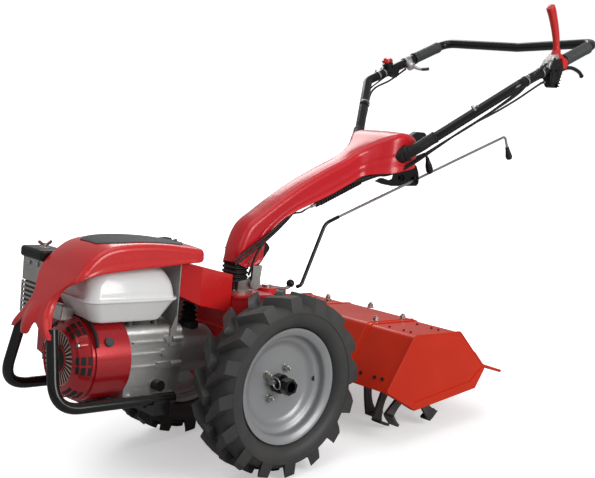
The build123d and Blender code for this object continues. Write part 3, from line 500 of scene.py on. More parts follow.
def make_hub(hand, name):
    """Black collar and hollow hexagonal stub with its lynch pin."""
    body = f"wheel_{name[4:]}"
    centre = Vector((0, hand * TRACK_HALF, 0))
    out = Vector((0, hand, 0))
    bm = bmesh.new()
    turned(bm, ((-135, 0), (-135, 14), (-78, 14), (-78, 26), (-19, 26), (-19, 38), (-7, 38),
                (-7, 24), (14, 24), (16, 22), (16, 19)), centre, out, 48)
    across = out.orthogonal().normalized()
    up = out.cross(across)

    def ring(radius, depth, sides):
        return [centre + out * depth + across * radius * cos(2 * pi * k / sides)
                + up * radius * sin(2 * pi * k / sides) for k in range(sides)]

    loops = []
    for radius, depth in ((20.5, 15), (20.5, 48), (19, 50)):
        loops.append(ring(radius, depth, 6))
    for radius, depth in ((14.5, 50), (12.5, 48), (12.5, 22)):
        loops.append(ring(radius, depth, 24))
    verts = [[bm.verts.new(p) for p in loop] for loop in loops]
    edges = [[bm.edges.new((a, b)) for a, b in zip(v, v[1:] + v[:1])] for v in verts]
    for low, high in zip(edges, edges[1:]):
        bmesh.ops.bridge_loops(bm, edges=low + high)
    bm.faces.new(verts[-1])
    done(f"{name}_stub", bm, body, "black_steel", (name,), angle=30)
    bm = bmesh.new()
    pin = Vector((0, hand * (TRACK_HALF + 12), 0))
    bar(bm, [pin + Vector((-32, 0, -8)), pin + Vector((32, 0, 8))], 4)
    loop = [pin + Vector((30, 0, 8)) + Vector((4 * sin(a), hand * (14 - 14 * cos(a)), 15 * sin(a)))
            for a in [2 * pi * k / 32 for k in range(33)]]
    bar(bm, loop, 1.6, 10)
    turned(bm, disc(-4, 4, 7.5), pin + Vector((32, 0, 8)), (1, 0, 0.25), 24)
    done(f"{name}_lynch_pin", bm, body, "zinc_plate", angle=35)


for hand, side_name in SIDES:
    make_tyre(hand, f"tyre_{side_name}")
    make_rim(hand, f"rim_{side_name}")
    make_hub(hand, f"hub_{side_name}")


# Hood: stations of crown u and w, of the free edge's u and w, and half width
HOOD = ((130, 300, 130, 286, 36), (150, 309, 152, 284, 66), (176, 317, 176, 281, 88),
        (215, 323, 212, 279, 90), (270, 329, 264, 274, 90), (330, 331, 322, 270, 90),
        (390, 328, 380, 265, 90), (432, 320, 428, 260, 90), (464, 302, 462, 255, 90),
        (485, 279, 487, 250, 89), (501, 255, 503, 243, 83), (516, 235, 513, 234, 70),
        (528, 218, 520, 220, 56), (538, 203, 525, 201, 46.5), (547, 189, 531, 186, 45.5),
        (555, 175, 537, 171, 50), (562, 161, 543, 157, 57), (567, 148, 549, 144, 67),
        (569, 134, 555, 131, 78), (568, 119, 561, 118, 86))
HOOD_CROWN = 7
HOOD_HALF = 90
FLAT_TO, CORNER_TO = 0.66, 0.86


def hood_shape(s, t):
    """Point of the hood's outer skin: s from the rear edge to the nose, t from right to left."""
    across = 2 * t - 1
    hand = 1 if across >= 0 else -1
    reach = abs(across)
    nose = min(max(0, (s - 0.74) / 0.26), 1)
    wave = min(max((reach - 0.08) / 0.52, 0), 1)
    scallop = 0.1 * nose * (1 - cos(wave * 2 * pi)) / 2
    u, w, edge_u, edge_w, half = run(HOOD, s * (1 - scallop))
    ahead = run(HOOD, min(s + 0.02, 1))
    behind = run(HOOD, max(s - 0.02, 0))
    tangent = Vector((ahead[0] - behind[0], 0, ahead[1] - behind[1])).normalized()
    outward = Vector((-tangent.z, 0, tangent.x))
    inward = Vector((edge_u - u, 0, edge_w - w))
    deep = max(-inward.dot(outward), 6)
    corner = min(15, half * 0.4, deep * 0.75)
    fall = HOOD_CROWN * ((half - corner) / HOOD_HALF) ** 2 * min(1, deep / 40)
    ridge = 14 * nose * max(0, 1 - (reach * half / 28) ** 2) ** 2
    if reach <= FLAT_TO:
        f = reach / FLAT_TO
        y, drop = f * (half - corner), fall * f * f
    elif reach <= CORNER_TO:
        f = (reach - FLAT_TO) / (CORNER_TO - FLAT_TO) * pi / 2
        y, drop = half - corner + corner * sin(f), fall + corner * (1 - cos(f))
    else:
        f = (reach - CORNER_TO) / (1 - CORNER_TO)
        y = half + 2 * min(max(0, (f - 0.72) / 0.1), 1)
        drop = fall + corner + max(deep - fall - corner, 1) * f
    return Vector((u, hand * y, w)) + inward * (drop / deep) + outward * ridge


bm = bmesh.new()
mapped(bm, hood_shape, 110, 64)
done("hood_shell", bm, "chassis", "red_plastic", ("hood",), wall=3.5, levels=1, angle=60)


def pad_shape(s, t):
    """Top of the soft pad on the hood, kept just above the hood's skin."""
    across = 2 * t - 1
    along = 0.135 + 0.235 * s + 0.012 * (1 - s) * cos(3 * pi * across)
    half = run(((24,), (62,), (70,), (71,), (70,), (67,), (56,), (36,)), s)[0]
    point = hood_shape(along, 0.5)
    drop = HOOD_CROWN * (across * half / HOOD_HALF) ** 2
    return Vector((point.x, across * half, point.z - drop + 2))


bm = bmesh.new()
mapped(bm, pad_shape, 40, 24)
done("hood_pad_skin", bm, "chassis", "pad_grey", ("hood_pad",), wall=4.5, bevel=1.2, angle=50)
# The black disc on the pad is painted shade: it stands for the dark inside of the pad's hole.
bm = bmesh.new()
turned(bm, disc(0, 0.6, 5.5), (424, 34, 322.5), (0.16, 0, 1), 24)
done("pad_hole_shade", bm, "chassis", "black_plastic", angle=40)

# Fuel tank: stations of height, half length, half width, corner radius
TANK_U = 346
TANK = ((140, 80, 48, 24), (143, 92, 60, 26), (156, 100, 67, 28), (178, 112, 77, 30),
        (190, 120, 83, 32), (191.5, 124, 86, 34), (193, 125, 87, 34), (197, 125, 87, 34),
        (198, 124, 86, 34), (199.5, 119.5, 81.5, 32), (214, 117, 79, 32), (232, 113, 75, 34),
        (246, 108, 70, 40), (258, 99, 62, 40), (266, 86, 50, 38), (270, 70, 36, 30),
        (271.5, 40, 18, 14), (272, 1, 1, 0.5))


def tank_shape(s, t):
    """Point of the tank's skin: s from the bottom to the crown, t round it."""
    w, length, width, corner = run(TANK, s)
    corner = min(corner, width)
    straight_u, straight_y = length - corner, width - corner
    turn = 2 * pi * t
    u = straight_u * (1 if cos(turn) > 0 else -1) if abs(cos(turn)) > 1e-9 else 0
    y = straight_y * (1 if sin(turn) > 0 else -1) if abs(sin(turn)) > 1e-9 else 0
    return Vector((TANK_U + u + corner * cos(turn), y + corner * sin(turn), w))


bm = bmesh.new()
mapped(bm, tank_shape, 72, 96)
closed(bm)
done("fuel_tank_shell", bm, "chassis", "tank_silver", ("fuel_tank",), angle=30)

# Column: stations of top u, top w, lower u, lower w, half width
COLUMN = ((20, 268, -8, 256, 34), (16, 312, -56, 270, 35), (-10, 366, -60, 300, 36),
          (-66, 406, -72, 338, 36), (-130, 448, -140, 392, 36), (-196, 486, -210, 422, 36),
          (-270, 522, -278, 449, 36), (-336, 552, -345, 480, 36), (-380, 579, -392, 503, 37),
          (-424, 606, -420, 512, 58), (-460, 626, -458, 518, 86), (-500, 634, -496, 527, 93),
          (-540, 626, -536, 535, 89), (-572, 607, -566, 543, 70), (-592, 586, -586, 550, 42),
          (-599, 572, -597, 556, 10))


def column_shape(s, t):
    """Point of the column cover's skin: s from its foot to its head, t round the section."""
    top_u, top_w, low_u, low_w, half = run(COLUMN, s)
    top = Vector((top_u, 0, top_w))
    low = Vector((low_u, 0, low_w))
    depth = (top - low).length
    up = (top - low).normalized()
    corner = min(17, half * 0.6, depth * 0.3)
    hand = 1 if t < 0.5 else -1
    f = t * 2 if t < 0.5 else (1 - t) * 2
    if f < 0.28:
        g = f / 0.28
        y, drop = g * (half - corner), 2.0 * g * g
    elif f < 0.5:
        g = (f - 0.28) / 0.22 * pi / 2
        y, drop = half - corner + corner * sin(g), 2 + corner * (1 - cos(g))
    elif f < 0.9:
        g = (f - 0.5) / 0.4
        crease = 1.6 * max(0, 1 - abs(g - 0.5) / 0.08)
        flange = 2.2 * max(0, min((g - 0.86) / 0.05, 1))
        y = half - crease + flange
        drop = 2 + corner + (depth - 2 - corner) * g
    else:
        g = (f - 0.9) / 0.1
        y, drop = (half + 2.2) * (1 - g), depth
    return top + Vector((0, hand * y, 0)) - up * drop


bm = bmesh.new()
mapped(bm, column_shape, 110, 96)
closed(bm)
done("column_cover_shell", bm, "column", "column_red", ("column_cover",), angle=40)


# Handlebar: one bent tube whose ends go into the column's head
BEND_U, BEND_W = -709, 790
REAR_U, REAR_W = -1066, 950


def bar_w(u):
    """Height of the handlebar's straight upper run at u."""
    return BEND_W + (u - BEND_U) / (REAR_U - BEND_U) * (REAR_W - BEND_W)


def on_bar(u, hand, y=0, w=0):
    """Point beside the handlebar's upper run."""
    return Vector((u, hand * BAR_HALF + y, bar_w(u) + w))


ALONG = (on_bar(-1000, 1) - on_bar(-900, 1)).normalized()
HALF_BAR = [(-480, 70, 564), (-508, 112, 588), (-558, 154, 636), (BEND_U, BAR_HALF, BEND_W),
            (REAR_U, BAR_HALF, REAR_W)]
bm = bmesh.new()
bar(bm, rounded(HALF_BAR + [(-1074, 0, 938)] + [(u, -y, w) for u, y, w in reversed(HALF_BAR)], 42),
    14, 28)
done("handlebar_tube", bm, "column", "black_steel", ("handlebar",), angle=40)

bm = bmesh.new()
for hand in (1, -1):
    start = Vector((-482, hand * 73, 566))
    end = Vector((-508, hand * 112, 588))
    route = (end - start).normalized()
    turned(bm, ((0, 14), (0, 23), (14, 24.5), (19, 24.5), (21, 22), (26, 22), (27, 24), (36, 23.5),
                (38, 20), (38, 14)), start, route, 40)
done("bar_sockets", bm, "column", "black_plastic", ("bar_collars",), angle=35)

bm = bmesh.new()
for hand in (1, -1):
    near = [(-500, hand * 100, 580), (-516, hand * 122, 597), (-534, hand * 137, 615)]
    bar(bm, smooth(near, 12), 16, 40)
    cross = Vector((-534, hand * 136, 615))
    route = (Vector((-580, hand * 172, 657)) - cross).normalized()
    turned(bm, ((-6, 14), (-6, 16), (20, 16), (21, 16.8), (26, 16.8), (27, 15), (27, 14)),
           cross, route, 40)
done("bar_sleeves", bm, "column", "black_rubber", angle=35)

GRIP_RIBS = [(x + dx, r) for x in range(16, 104, 11)
             for dx, r in ((0, 17.4), (1.5, 16.6), (8, 16.6), (9.5, 17.4))]
for hand, side_name in SIDES:
    bm = bmesh.new()
    turned(bm, [(0, 14), (0, 17.8), (1.5, 18.6), (5, 18.6), (6.5, 18), (8, 17.4), *GRIP_RIBS,
                (108, 17.5), (116, 18), (122, 18), (124.5, 16.5), (125, 14)],
           on_bar(-912, hand), ALONG, 48)
    done(f"grip_{side_name}_ribbed", bm, "column", "grip_grey", (f"grip_{side_name}",), angle=30)

# Near bar: red safety lever in its winged seat, silver cast bracket, clutch perch and lever
bm = bmesh.new()
stick = smooth([(-872, BAR_HALF, 898), (-866, BAR_HALF, 930), (-852, BAR_HALF, 966),
                (-834, BAR_HALF, 1000), (-823, BAR_HALF, 1016), (-818, BAR_HALF, 1022)], 36)


def stick_radius(f):
    """Radius of the safety lever's stick: it swells upwards and ends round."""
    if f < 0.9:
        return 8.5 + 4.5 * min(1, f * 1.4)
    return 13 * max(0.05, 1 - ((f - 0.9) / 0.1) ** 2) ** 0.5


bar(bm, stick, stick_radius, 28)
plate(bm, ((-853, 872), (-858, 896), (-866, 912), (-880, 912), (-884, 898), (-900, 892),
           (-905, 876), (-896, 866), (-880, 862)), BAR_HALF - 8, 16)
plate(bm, ((-880, 884), (-896, 888), (-912, 880), (-908, 858), (-892, 856)), BAR_HALF - 17, 34)
done("safety_lever_paddle", bm, "column", "lever_red", ("safety_lever",), bevel=2.2, segments=3,
     angle=40)

bm = bmesh.new()
plate(bm, ((-822, 852), (-832, 872), (-848, 886), (-862, 896), (-868, 884), (-852, 872),
           (-842, 858), (-836, 846)), BAR_HALF - 15, 30)
done("bracket_casting", bm, "column", "bare_alloy", bevel=2, angle=40)

bm = bmesh.new()
turned(bm, disc(0, 52, 19, 14), on_bar(-834, 1), ALONG, 40)
block(bm, (-851, BAR_HALF + 12, 862), (30, 12, 30), 24)
plate(bm, ((-832, 846), (-888, 870), (-890, 846), (-876, 806), (-868, 800), (-846, 800),
           (-836, 814)), BAR_HALF - 8, 24)
for k in range(5):
    block(bm, (-861 - k * 1.5, BAR_HALF + 1, 809 + k * 9), (44, 32, 3.2), 12)
block(bm, (-852, BAR_HALF + 15, 836), (13, 6, 52), 8)
block(bm, (-878, BAR_HALF + 15, 846), (13, 6, 30), 8)
turned(bm, disc(-20, 14, 7), (-866, BAR_HALF + 4, 806), (0, 1, 0), 24)
done("lever_perch", bm, "column", "black_plastic", ("lever_bracket",), bevel=0.8, angle=35)

bm = bmesh.new()
for spot, to in (((-834, BAR_HALF - 4, 812), (1, 0, -0.35)),
                 ((-836, BAR_HALF - 10, 862), (1, 0, -0.6)),
                 ((-830, BAR_HALF + 10, 868), (1, 0, -0.6))):
    turned(bm, ((-8, 0), (-8, 5), (0, 5), (1, 3.6), (16, 3.6), (16, 0)), spot, to, 20)
turned(bm, ((-13, 0), (-13, 5.5), (-10, 6), (-10, 0)), (-866, BAR_HALF + 28, 806), (0, 1, 0), 20)
done("cable_adjusters", bm, "column", "zinc_plate", angle=35)


def clutch_radius(f):
    """Radius of the clutch lever: thick at its root, with a bead near its tip."""
    if f < 0.9:
        return 8 - 2.5 * min(1, f * 2)
    return 5.5 + 20 * (f - 0.9) if f < 0.98 else 5.5


bm = bmesh.new()
bar(bm, smooth([(-868, BAR_HALF, 818), (-885, BAR_HALF, 842), (-915, BAR_HALF, 858),
                (-955, BAR_HALF, 865), (-995, BAR_HALF, 858), (-1014, BAR_HALF, 845)], 32),
    clutch_radius, 20)
done("clutch_lever_curve", bm, "column", "black_steel", ("clutch_lever",), angle=40)

# Far bar: stop switch with its red button, throttle in bare alloy
SWITCH_AXIS = Vector((0.42, 0, 0.9))
bm = bmesh.new()
seat = on_bar(-800, -1)
turned(bm, ((-15, 0), (-15, 17), (16, 16), (20, 17.5), (24, 17.5), (25, 12), (25, 0)), seat,
       SWITCH_AXIS, 36)
block(bm, seat + Vector((-12, 4, -2)), (32, 28, 26), 24)
done("stop_switch_base", bm, "column", "black_plastic", ("stop_switch",), bevel=1.5, angle=35)
bm = bmesh.new()
knob = seat + SWITCH_AXIS.normalized() * 25
turned(bm, ((0, 9), (3, 9), (4, 15), (8, 16), (13, 14), (15, 9), (15, 0)), knob, SWITCH_AXIS, 36)
for k in range(3):
    lobe = knob + Vector((11 * cos(2.1 * k), 11 * sin(2.1 * k), 8))
    turned(bm, ((-4, 0), (-4, 5.5), (5, 5.5), (7, 3), (7, 0)), lobe, SWITCH_AXIS, 16)
done("stop_button", bm, "column", "lever_red", angle=40)

bm = bmesh.new()
clamp = on_bar(-882, -1)
turned(bm, ((0, 14), (0, 17), (3, 18.4), (9, 18.4), (11, 18), (18, 18), (20, 17), (24, 17),
            (24, 14)), on_bar(-868, -1), ALONG, 36)
turned(bm, ((-10, 0), (-10, 13), (-6, 15), (10, 15), (14, 11), (16, 6), (16, 0)),
       clamp + Vector((4, 16, -10)), (0, 0.8, -0.5), 28)
bar(bm, smooth([clamp + Vector(p) for p in ((0, 22, -12), (-6, 44, -20), (-12, 62, -22))], 16),
    lambda f: 5.5 - 1.5 * f, 14)
done("throttle_casting", bm, "column", "bare_alloy", ("throttle_lever",), angle=35)
bm = bmesh.new()
bar(bm, smooth([clamp + Vector(p) for p in ((-11, 58, -22), (-14, 70, -21), (-17, 80, -19))], 8),
    5.2, 14)
done("throttle_tip", bm, "column", "dark_steel", angle=35)

# Cables tied to the bars, with each route's radius and sides, and the clips that hold them
NEAR_RUN = ((-820, 284, 856), (-770, 272, 806), (-712, 268, 758), (-640, 216, 682),
            (-575, 160, 618), (-530, 120, 572), (-490, 84, 532), (-440, 44, 518), (-300, 24, 470),
            (-200, 24, 430), (-142, 34, 394), (-90, 43, 359), (-45, 46, 330), (7, 45, 297),
            (38, 41, 273))
SECOND_RUN = ((-816, 300, 862), (-770, 298, 828), (-712, 290, 768), (-640, 230, 692),
              (-575, 172, 624), (-528, 126, 568), (-484, 84, 524), (-430, 42, 508),
              (-296, 22, 462), (-190, 24, 420), (-130, 36, 378), (-82, 46, 346), (-38, 51, 318),
              (10, 50, 286), (36, 46, 266))
HANGING_RUN = ((-818, 284, 806), (-786, 276, 784), (-740, 264, 752), (-690, 242, 716),
               (-620, 196, 662), (-560, 146, 598), (-516, 104, 548), (-466, 60, 512),
               (-400, 30, 508), (-290, 14, 466), (-180, 22, 414), (-112, 38, 364), (-62, 46, 332),
               (-32, 48, 300), (-17, 48, 266), (-8, 47, 238))
FAR_RUN = ((-860, -272, 842), (-790, -268, 800), (-706, -262, 758), (-640, -214, 682),
           (-575, -162, 618), (-530, -120, 566), (-484, -80, 524), (-400, -30, 510),
           (-220, -26, 436), (-140, -36, 388), (-86, -44, 352), (-40, -46, 322), (0, -44, 296))
SWITCH_RUN = (on_bar(-800, -1, 10, -8), on_bar(-750, -1, 14, -14), (-700, -272, 756),
              (-640, -224, 694), (-556, -150, 614))
bm = bmesh.new()
for route in (NEAR_RUN, SECOND_RUN, HANGING_RUN, FAR_RUN):
    bar(bm, smooth(route, 120), 3.1, 14)
bar(bm, smooth(SWITCH_RUN, 60), 2.4, 12)
done("cable_sheaths", bm, "column", "black_rubber", angle=40)

bm = bmesh.new()
for u, hand in ((-740, 1), (-806, 1), (-748, -1), (-772, -1)):
    turned(bm, disc(0, 6, 15.6, 14.2), on_bar(u, hand), ALONG, 32)
    block(bm, on_bar(u - 3, hand, 8 * hand, 14), (8, 7, 6), 24)
for hand in (1, -1):
    low = Vector((-560, hand * 150, 648))
    route = (Vector((BEND_U, hand * BAR_HALF, BEND_W)) - low).normalized()
    spot = low + route * 110
    turned(bm, disc(0, 6, 15.8, 14.2), spot, route, 32)
    block(bm, spot + Vector((0, 12 * hand, 12)), (8, 7, 6), 24)
done("cable_clips", bm, "column", "zinc_plate", angle=35, bevel=0.4)

# Corrugated conduit under the column, and the bright cable end it leads to
bm = bmesh.new()
low = Vector((-262, 0, 420))
high = Vector((-430, 0, 492))
route = (high - low).normalized()
folds = [(x + dx, r) for x in range(14, 176, 9)
         for dx, r in ((0, 7.2), (1.5, 10), (4.5, 10), (6, 7.2))]
turned(bm, [(0, 0), (0, 8.5), (12, 8.5), *folds, (182, 7.4), (182, 0)], low, route, 32)
done("conduit_folds", bm, "column", "black_rubber", ("conduit",), angle=35)
bm = bmesh.new()
turned(bm, ((-44, 0), (-44, 2.6), (-18, 2.6), (-17, 4.4), (0, 4.4), (0, 0)), low, route, 20)
done("cable_end", bm, "column", "zinc_plate", angle=35)
bm = bmesh.new()
bar(bm, smooth([low - route * 42, (-204, 8, 398), (-172, 18, 396), (-146, 26, 390),
                (-120, 34, 376)], 32), 2.6, 14)
bar(bm, smooth([high, (-470, 6, 507), (-520, 10, 519), (-570, 14, 534), (-606, 16, 546)], 40),
    8, 16)
done("lower_sheath", bm, "column", "black_rubber", angle=40)

# Tiller: plated bolts and a blank plate on its top, holes in the side extensions drawn as black
# discs of painted shade, pressed edges
bm = bmesh.new()
for u, y in ((-418, 117), (-527, 118), (-570, -50), (-534, -196)):
    turned(bm, disc(0, 2, 11), (u, y, 112.5), (0, 0, 1), 28)
    hexagon(bm, (u, y, 114.5), (0, 0, 1), 15, 9, u)
    turned(bm, ((9, 5), (13, 5), (14, 4), (14, 0)), (u, y, 114.5), (0, 0, 1), 16)
done("tiller_top_bolts", bm, "chassis", "zinc_plate", angle=30, bevel=0.7)
bm = bmesh.new()
pulled(bm, [(u, y, 109.8) for u, y in ((-519, -79), (-557, -85), (-550, 1), (-509, 10))],
       Vector((0, 0, 1)))
done("blank_plate", bm, "chassis", "zinc_plate", angle=30, bevel=0.2)

# The black discs at the holes in the side extensions are painted shade: they stand for the dark
# inside seen through the holes.
bm = bmesh.new()
slope = Vector((143, 0, 88)).normalized()
for hand in (1, -1):
    for u, y, w in ((-306, 187, -6), (-306, 238, -6), (-306, 265, -5), (-297, 169, -21)):
        turned(bm, disc(0, 3.5, 4.6), (u, hand * y, w), slope, 24)
    for u, y in ((-404, 183), (-408, 231), (-408, 256), (-518, 181), (-517, 234), (-518, 258)):
        turned(bm, disc(0, 3.4, 3), (u, hand * y, 110), (0, 0, 1), 20)
done("tiller_hole_shade", bm, "chassis", "black_plastic", angle=30)

SHELL = ((-289, -33), (-377, 110), (-561, 110), (-684, 0))
bm = bmesh.new()
for hand in (1, -1):
    for y, lift in ((299.2, 1.2), (127, 3)):
        corners = [(u, hand * y, w + lift) for u, w in SHELL]
        bar(bm, rounded(corners, 17, 12), 2.4, 14)
    plate(bm, ((-290, -32), (-286, -18), (-400, -68), (-624, -32), (-672, 4), (-683, 0),
               (-649, -53), (-403, -90)), hand * 299.5, hand * 3.5)
done("tiller_pressed_edges", bm, "chassis", "tiller_red", angle=35, bevel=1.2, segments=3)
bm = bmesh.new()
for hand in (1, -1):
    bar(bm, ((-692, hand * 288, 4.5), (-776, hand * 288, -18.5)), 3.6, 16)
bar(bm, ((-776, -288, -18.5), (-776, 288, -18.5)), 4.2, 16)
done("flap_rolled_edge", bm, "flap", "tiller_red", angle=40)

# Recoil starter: cover with cream-edged slots round its disc, and windows on its flank, both
# filled with black pieces of painted shade
SLOTS = 32
WINDOW_LIFT = 1.2


def cover_point(distance, turn):
    """Point just over the cover's skin: distance from its disc to its rim, turn from +Y."""
    along, radius = run(((482, 24), (482, 66), (472, 84), (451, 93), (441, 96)), distance)
    radius += WINDOW_LIFT * 0.5
    return CRANK + Vector((along + WINDOW_LIFT, radius * cos(turn), radius * sin(turn)))


bm = bmesh.new()
turned(bm, ((440, 92), (440, 96), (448, 96), (450, 93), (471, 84.5), (476, 80), (482, 69),
            (483, 66), (482, 63), (480, 62), (480, 33), (483, 32), (484, 30), (484, 0)), CRANK,
       (1, 0, 0), 96)
done("recoil_skin", bm, "chassis", "shroud_red", ("recoil_cover",), angle=30)
bm = bmesh.new()
turned(bm, ((480, 0), (486, 0), (486, 28), (485, 30), (480, 30.5)), CRANK, (1, 0, 0), 64)
done("recoil_centre", bm, "chassis", "black_plastic", ("recoil_disc",), angle=30)
# The black pieces in the slots and windows are painted shade: they stand for the dark inside seen
# through the openings.
dark = bmesh.new()
edges = bmesh.new()
for k in range(SLOTS):
    turn = 2 * pi * k / SLOTS
    for bm, wide, lift, near, far in ((edges, 0.43, 480.4, 32, 62.5),
                                      (dark, 0.27, 480.9, 33.5, 61)):
        corners = []
        for radius, share in ((near, -wide), (near, wide), (far, wide), (far, -wide)):
            spread = turn + share * 2 * pi / SLOTS * (1.25 if radius == near else 1)
            corners.append(CRANK + Vector((lift, radius * cos(spread), radius * sin(spread))))
        pulled(bm, corners, Vector((-0.6, 0, 0)))
for k in range(6):
    for row in (-1, 1):
        turn = 2 * pi * k / 6 + row * 0.135
        for column in range(3):
            start = 0.36 + 0.165 * column
            quad = [cover_point(start + step, turn + side) for step, side in
                    ((0, -0.105), (0.1, -0.105), (0.1, 0.105), (0, 0.105))]
            pulled(dark, quad, Vector((-1.5, 0, 0)))
done("recoil_slot_edges", edges, "chassis", "slot_cream", angle=20)
done("recoil_gap_shade", dark, "chassis", "black_rubber", angle=20)
bosses = bmesh.new()
bolts = bmesh.new()
for k in range(3):
    turn = radians(32 + 120 * k)
    spot = CRANK + Vector((462, 84 * cos(turn), 84 * sin(turn)))
    turned(bosses, ((-8, 0), (-8, 8), (10, 6.5), (10, 0)), spot, (1, 0, 0), 24)
    hexagon(bolts, spot + Vector((10, 0, 0)), (1, 0, 0), 9, 5, k)
done("recoil_bosses", bosses, "chassis", "shroud_red", angle=35)
done("recoil_bolts", bolts, "chassis", "zinc_plate", angle=30, bevel=0.5)

# Front guards, whose upper ends go up inside the hood's nose
bm = bmesh.new()
for hand in (1, -1):
    bar(bm, rounded([(248, hand * 120, -30), (560, hand * 120, -30), (547, hand * 68, 136)],
                    62, 14), 12.8, 32)
done("guard_tubes", bm, "chassis", "black_steel", ("guard_left", "guard_right"), angle=40)

# Air cleaner: black lid with its clips over a bright body; ribbed guard over the muffler
bm = bmesh.new()
block(bm, (462, -142, 273), (72, 104, 26))
done("air_lid", bm, "chassis", "black_plastic", ("air_cleaner_lid",), bevel=7, segments=3)
bm = bmesh.new()
block(bm, (460, -142, 233), (62, 94, 56))
block(bm, (491, -142, 262), (6, 60, 16))
block(bm, (494, -160, 250), (5, 20, 12))
block(bm, (494, -122, 250), (5, 20, 12))
done("air_body", bm, "chassis", "bare_alloy", ("air_cleaner_body",), bevel=3)
bm = bmesh.new()
block(bm, (455, -148, 165), (66, 72, 78))
done("muffler_can", bm, "chassis", "dark_steel", ("muffler",), bevel=4)
bm = bmesh.new()
for k in range(7):
    block(bm, (492, -148, 133 + 11 * k), (5, 74, 5.5))
for y in (-184, -112):
    block(bm, (491, y, 166), (5, 5, 76))
done("muffler_guard", bm, "chassis", "bare_alloy", bevel=1)
bm = bmesh.new()
block(bm, (462, -52, 150), (34, 74, 34), 10)
done("engine_bracket", bm, "chassis", "bare_alloy", bevel=4)

bm = bmesh.new()
turned(bm, ((0, 0), (0, 11), (8, 11), (10, 8), (10, 0)), (405, 72, 99), (0, 0.9, 0.5), 28)
done("shroud_plug", bm, "chassis", "pad_grey", angle=35)

# Wing nut and stud on the air cleaner
bm = bmesh.new()
spot = Vector((462, -142, 285))
turned(bm, ((0, 0), (0, 12), (2, 12), (2, 6), (12, 5), (12, 0)), spot, (0, 0, 1), 28)
for hand in (1, -1):
    plate(bm, [(462 + hand * a, 284 + b)
               for a, b in ((4, 4), (17, 12), (19, 18), (14, 20), (4, 12))], -143.5, 3)
done("wing_nut", bm, "chassis", "zinc_plate", bevel=0.6, angle=35)

# Black seal between the drum and the tank
bm = bmesh.new()
bar(bm, smooth([(438, -80, 128), (438, -40, 143), (438, 0, 148), (438, 40, 140), (438, 70, 118),
                (438, 82, 92)], 40), 4, 12)
done("shroud_trim", bm, "chassis", "black_plastic", angle=40)

# Shift lever on the gearbox: its ball and its bent arm
bm = bmesh.new()
turned(bm, [(-11 * cos(pi * k / 16), 11 * sin(pi * k / 16)) for k in range(17)],
       (-196, 0, 205), (0, 0, 1), 32)
done("shift_ball", bm, "chassis", "black_plastic", angle=60)
bm = bmesh.new()
bar(bm, smooth([(-112, 0, 201), (-140, 0, 196), (-172, 0, 192), (-193, 0, 196)], 16), 4.6, 16)
turned(bm, ((-4, 0), (-4, 12), (4, 12), (5, 10), (5, 0)), (-112, 0, 201), (0, 0, 1), 28)
done("shift_arm", bm, "chassis", "zinc_plate", ("shift_lever",), angle=40)

# Boots between the turret and the column, and the paddle that frees the column's height
bm = bmesh.new()
block(bm, (-5, 0, 211), (47, 45, 27.4))
done("turret_boot", bm, "turret", "black_rubber", bevel=3, segments=3, angle=40)


def boot_shape(s, t):
    """Point of the folded boot between the turret and the column's foot."""
    turn = 2 * pi * t
    fold = 2 * cos(8 * pi * s)
    square = [abs(v) ** 0.45 * (1 if v > 0 else -1) for v in (cos(turn), sin(turn))]
    return Vector((-2 + (25 + fold) * square[0], (28.5 + fold) * square[1], 219 + 46 * s))


bm = bmesh.new()
mapped(bm, boot_shape, 40, 48)
closed(bm)
done("column_boot", bm, "turret", "black_rubber", angle=50,
     between=("turret", "column", CHASSIS @ Vector((-2, 0, 221)), CHASSIS @ Vector((-2, 0, 262))))
bm = bmesh.new()
plate(bm, ((-47, 256), (-55, 249), (-92, 298), (-95, 306), (-82, 320), (-64, 318)), -14, 38)
done("release_paddle_block", bm, "column", "black_plastic", ("release_paddle",), bevel=5,
     segments=3, angle=35)

# Rods to the gearbox and the tool, the plate that guides them, and the lever on the head
bm = bmesh.new()
bar(bm, rounded([(-221, 0, 195), (-236, 0, 199), (-305, 0, 368), (-352, 0, 386.5)], 40, 10),
    5.2, 20)
done("gear_rod_lower", bm, "column", "black_steel", angle=40)
bm = bmesh.new()
bar(bm, rounded([(-348, 0, 385), (-1062, 0, 655), (-1078, 0, 622)], 14, 10), 4, 20)
done("gear_rod_upper", bm, "column", "zinc_plate", ("gear_rod",), angle=40)
bm = bmesh.new()
bar(bm, rounded([(-586, 12, 551), (-672, 12, 580), (-685, 12, 566)], 8, 8), 4, 18)
turned(bm, ((-2, 0), (-2, 5.5), (8, 6.5), (22, 10), (36, 11), (44, 9), (48, 5), (49, 0)),
       (-684, 12, 566), (-20, 0, -45), 28)
done("tool_rod_bent", bm, "column", "black_steel", ("tool_rod", "tool_knob"), angle=40)
GATE = ((2, 542), (12, 524), (15, 512), (17, 492), (10, 483), (-87, 473), (-128, 475), (-161, 481),
        (-140, 493), (-128, 494), (-102, 490), (-90, 495), (-87, 507), (-94, 514), (-90, 541),
        (-60, 549), (-14, 550))
bm = bmesh.new()
pulled(bm, [(-648, y, w) for y, w in GATE], Vector((-4, 0, 0)))
block(bm, (-614, -36, 548), (70, 46, 4))
done("gate_plate_cut", bm, "column", "black_steel", ("gate_plate",), bevel=1.2, angle=35)
bm = bmesh.new()
for y, w in ((0, 504), (-52, 501)):
    turned(bm, ((-8, 5), (-8, 9), (-1, 10.5), (1, 10.5), (3, 10.5), (10, 9), (10, 5)),
           (-650, y, w), (-1, 0, 0), 28)
done("gate_bushings", bm, "column", "black_plastic", angle=35)
bm = bmesh.new()
plate(bm, ((-558, 598), (-600, 624), (-632, 641), (-668, 641), (-675, 631), (-664, 621),
           (-622, 603), (-580, 586)), -11, 22)
done("head_lever_grip", bm, "column", "black_plastic", ("head_lever",), bevel=4.5, segments=3,
     angle=35)


# Studio

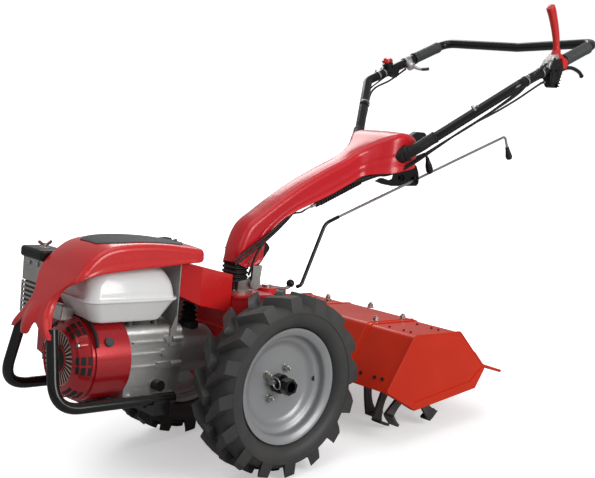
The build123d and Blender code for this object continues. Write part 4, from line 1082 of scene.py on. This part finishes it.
def lamp(name, spot, aim, size, power):
    """Square soft light aimed at a point."""
    light = bpy.data.lights.new(name, "AREA")
    light.size = size
    light.energy = power
    holder = bpy.data.objects.new(name, light)
    holder.location = spot
    holder.rotation_euler = (Vector(aim) - Vector(spot)).to_track_quat("-Z", "Y").to_euler()
    bpy.context.collection.objects.link(holder)


def for_ray(tree, label, plain, special):
    """One value for a kind of ray and another for the rest."""
    sight = tree.nodes.new("ShaderNodeLightPath")
    return stretch(tree, sight.outputs[label], 0.0, 1.0, plain, special)


def make_studio():
    """Pale floor, even white surround, soft lamps and the camera."""
    world = bpy.data.worlds.new("studio")
    bpy.context.scene.world = world
    world.use_nodes = True
    surround = world.node_tree.nodes["Background"]
    surround.inputs["Color"].default_value = (1, 1, 1, 1)
    tree = world.node_tree
    gloss = for_ray(tree, "Is Glossy Ray", 0.36, 0.4)
    tree.links.new(for_ray(tree, "Is Camera Ray", gloss, 1.0), surround.inputs["Strength"])
    bpy.ops.mesh.primitive_plane_add(size=60, location=(0, 0, 0))
    floor = bpy.context.active_object
    floor.name = "floor"
    paper = bpy.data.materials.new("floor_paper")
    paper.use_nodes = True
    tree = paper.node_tree
    shader = tree.nodes["Principled BSDF"]
    tree.links.new(for_ray(tree, "Is Camera Ray", 0.5, 0.93), shader.inputs["Base Color"])
    shader.inputs["Roughness"].default_value = 0.9
    shader.inputs["Specular IOR Level"].default_value = 0.0
    shader.inputs["Emission Color"].default_value = (1, 1, 1, 1)
    place = tree.nodes.new("ShaderNodeTexCoord")
    reach = tree.nodes.new("ShaderNodeVectorMath")
    reach.operation = "LENGTH"
    tree.links.new(place.outputs["Object"], reach.inputs[0])
    far = stretch(tree, reach.outputs["Value"], 0.5, 1.8, 0.42, 1.0)
    tree.links.new(for_ray(tree, "Is Camera Ray", 0.0, far), shader.inputs["Emission Strength"])
    floor.data.materials.append(paper)
    lamp("key", (2.6, 0.6, 2.4), (0.1, 0, 0.5), 1.6, 8)
    lamp("fill", (-0.4, 3.0, 1.5), (0, 0, 0.5), 1.6, 54)
    lamp("back", (-1.6, -2.2, 2.4), (0, 0, 0.6), 1.6, 30)
    lamp("top", (0.2, 0.2, 3.0), (0.1, 0, 0.4), 2.2, 18)
    camera = bpy.data.cameras.new("camera")
    camera.lens = 63
    camera.sensor_width = 36
    holder = bpy.data.objects.new("camera", camera)
    holder.location = (1.892, 2.0463, 1.0346)
    holder.rotation_euler = (radians(79.46), 0, radians(138.30))
    bpy.context.collection.objects.link(holder)
    bpy.context.scene.camera = holder
    bpy.context.scene.view_settings.view_transform = "Standard"


make_studio()
